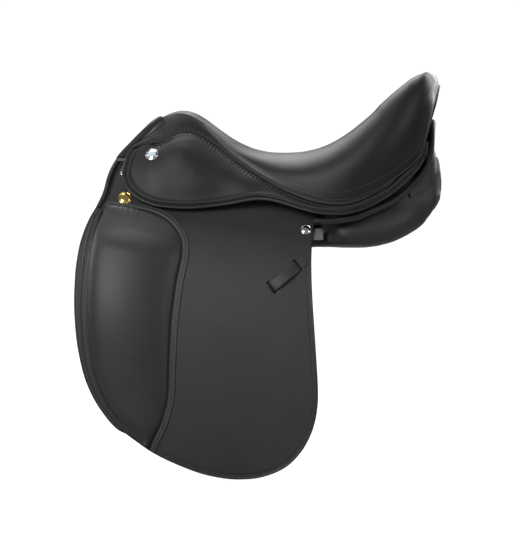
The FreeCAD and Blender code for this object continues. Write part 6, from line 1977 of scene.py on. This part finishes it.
# ---------------------------------------------------------------- finishes of the parts that keep their own form

def finish_cad(node, mat, smooth=True):
    o = frame["nodes"][node]
    o.data.materials.clear()
    o.data.materials.append(mat)


for n, m in (("bar_rivets", M_STEEL), ("catch_pins", M_STEEL), ("gullet_plate", M_STEEL), ("head_arch", M_BLACKWOOD), ("head_rivets", M_STEEL), ("spring_steels", M_STEEL), ("tree", M_WOOD), ("seat_foam", M_FOAM), ("seat_webbing", M_WEB)):
    finish_cad(n, m)
for sd in ("left", "right"):
    for n in ("stirrup_bar_", "stirrup_catch_", "stirrup_plate_"):
        finish_cad(n + sd, M_STEEL)

# ---------------------------------------------------------------- stage, light, camera

me = bpy.data.meshes.new("floor")
prof = [(-6.0, 0.0)] + [(3.0, 0.0)]
pts = []
cy = []
for a in np.linspace(0, math.pi / 2, 16):
    cy.append((2.4 + 1.6 * math.sin(a), 1.6 - 1.6 * math.cos(a)))
prof = [(-7.0, 0.0), (2.4, 0.0)] + cy[1:] + [(4.0, 7.0)]
V, F = [], []
for x in (-9.0, 9.0):
    for y, z in prof:
        V.append((x, y, z - 0.0015))
n = len(prof)
for i in range(n - 1):
    F.append((i, i + 1, n + i + 1, n + i))
me.from_pydata(V, [], F)
me.polygons.foreach_set("use_smooth", [True] * len(me.polygons))
floor = bpy.data.objects.new("floor", me)
bpy.context.scene.collection.objects.link(floor)
fm = bpy.data.materials.new("stage")
fm.use_nodes = True
nt = fm.node_tree
nt.nodes.clear()
out = nt.nodes.new("ShaderNodeOutputMaterial")
mixs = nt.nodes.new("ShaderNodeMixShader")
addn = nt.nodes.new("ShaderNodeAddShader")
d1 = nt.nodes.new("ShaderNodeBsdfDiffuse")
d1.inputs[0].default_value = (0.42, 0.42, 0.42, 1)
em = nt.nodes.new("ShaderNodeEmission")
em.inputs[1].default_value = 0.86
d2 = nt.nodes.new("ShaderNodeBsdfDiffuse")
d2.inputs[0].default_value = (0.34, 0.34, 0.34, 1)
lp = nt.nodes.new("ShaderNodeLightPath")
nt.links.new(d1.outputs[0], addn.inputs[0])
nt.links.new(em.outputs[0], addn.inputs[1])
nt.links.new(lp.outputs["Is Camera Ray"], mixs.inputs[0])
nt.links.new(d2.outputs[0], mixs.inputs[1])
nt.links.new(addn.outputs[0], mixs.inputs[2])
nt.links.new(mixs.outputs[0], out.inputs[0])
floor.data.materials.append(fm)

world_ = bpy.data.worlds.new("studio")
bpy.context.scene.world = world_
world_.use_nodes = True
nt = world_.node_tree
bg = nt.nodes["Background"]
lp = nt.nodes.new("ShaderNodeLightPath")
st_ = nt.nodes.new("ShaderNodeMapRange")
st_.inputs["To Min"].default_value = 0.20
st_.inputs["To Max"].default_value = 1.0
nt.links.new(lp.outputs["Is Camera Ray"], st_.inputs["Value"])
bg.inputs[0].default_value = (1, 1, 1, 1)
nt.links.new(st_.outputs[0], bg.inputs[1])


def area(name, loc, target, size, power, color=(1, 1, 1), size_y=None):
    l = bpy.data.lights.new(name, "AREA")
    l.energy = power
    l.color = color
    l.shape = "RECTANGLE"
    l.size = size
    l.size_y = size_y or size
    o = bpy.data.objects.new(name, l)
    o.location = loc
    d = Vector(target) - Vector(loc)
    o.rotation_euler = d.to_track_quat("-Z", "Y").to_euler()
    bpy.context.scene.collection.objects.link(o)
    return o


area("key", (-1.6, -2.45, 1.65), (-0.05, 0, 0.40), 1.2, 53, (1.0, 0.995, 0.985))
area("fill", (2.4, -2.2, 1.6), (0.1, 0, 0.45), 1.5, 24, (0.95, 0.98, 1.0))
area("top", (-0.3, 0.9, 2.3), (0.05, 0, 0.5), 1.9, 62)
area("back", (1.6, 2.0, 1.5), (0, 0, 0.4), 1.5, 50)
area("front", (-2.6, 0.9, 1.4), (0, 0, 0.35), 1.2, 22)

cam = bpy.data.cameras.new("camera")
cam.sensor_width = 36
cam.sensor_fit = "AUTO"
cam.lens = 167.8
cam.clip_end = 60
co = bpy.data.objects.new("camera", cam)
co.location = (-0.000265, -4.0, 0.30528)
co.rotation_euler = (math.pi / 2, 0, 0)
bpy.context.scene.collection.objects.link(co)
bpy.context.scene.camera = co
bpy.context.scene.view_settings.view_transform = "Standard"
bpy.context.scene.view_settings.look = "None"
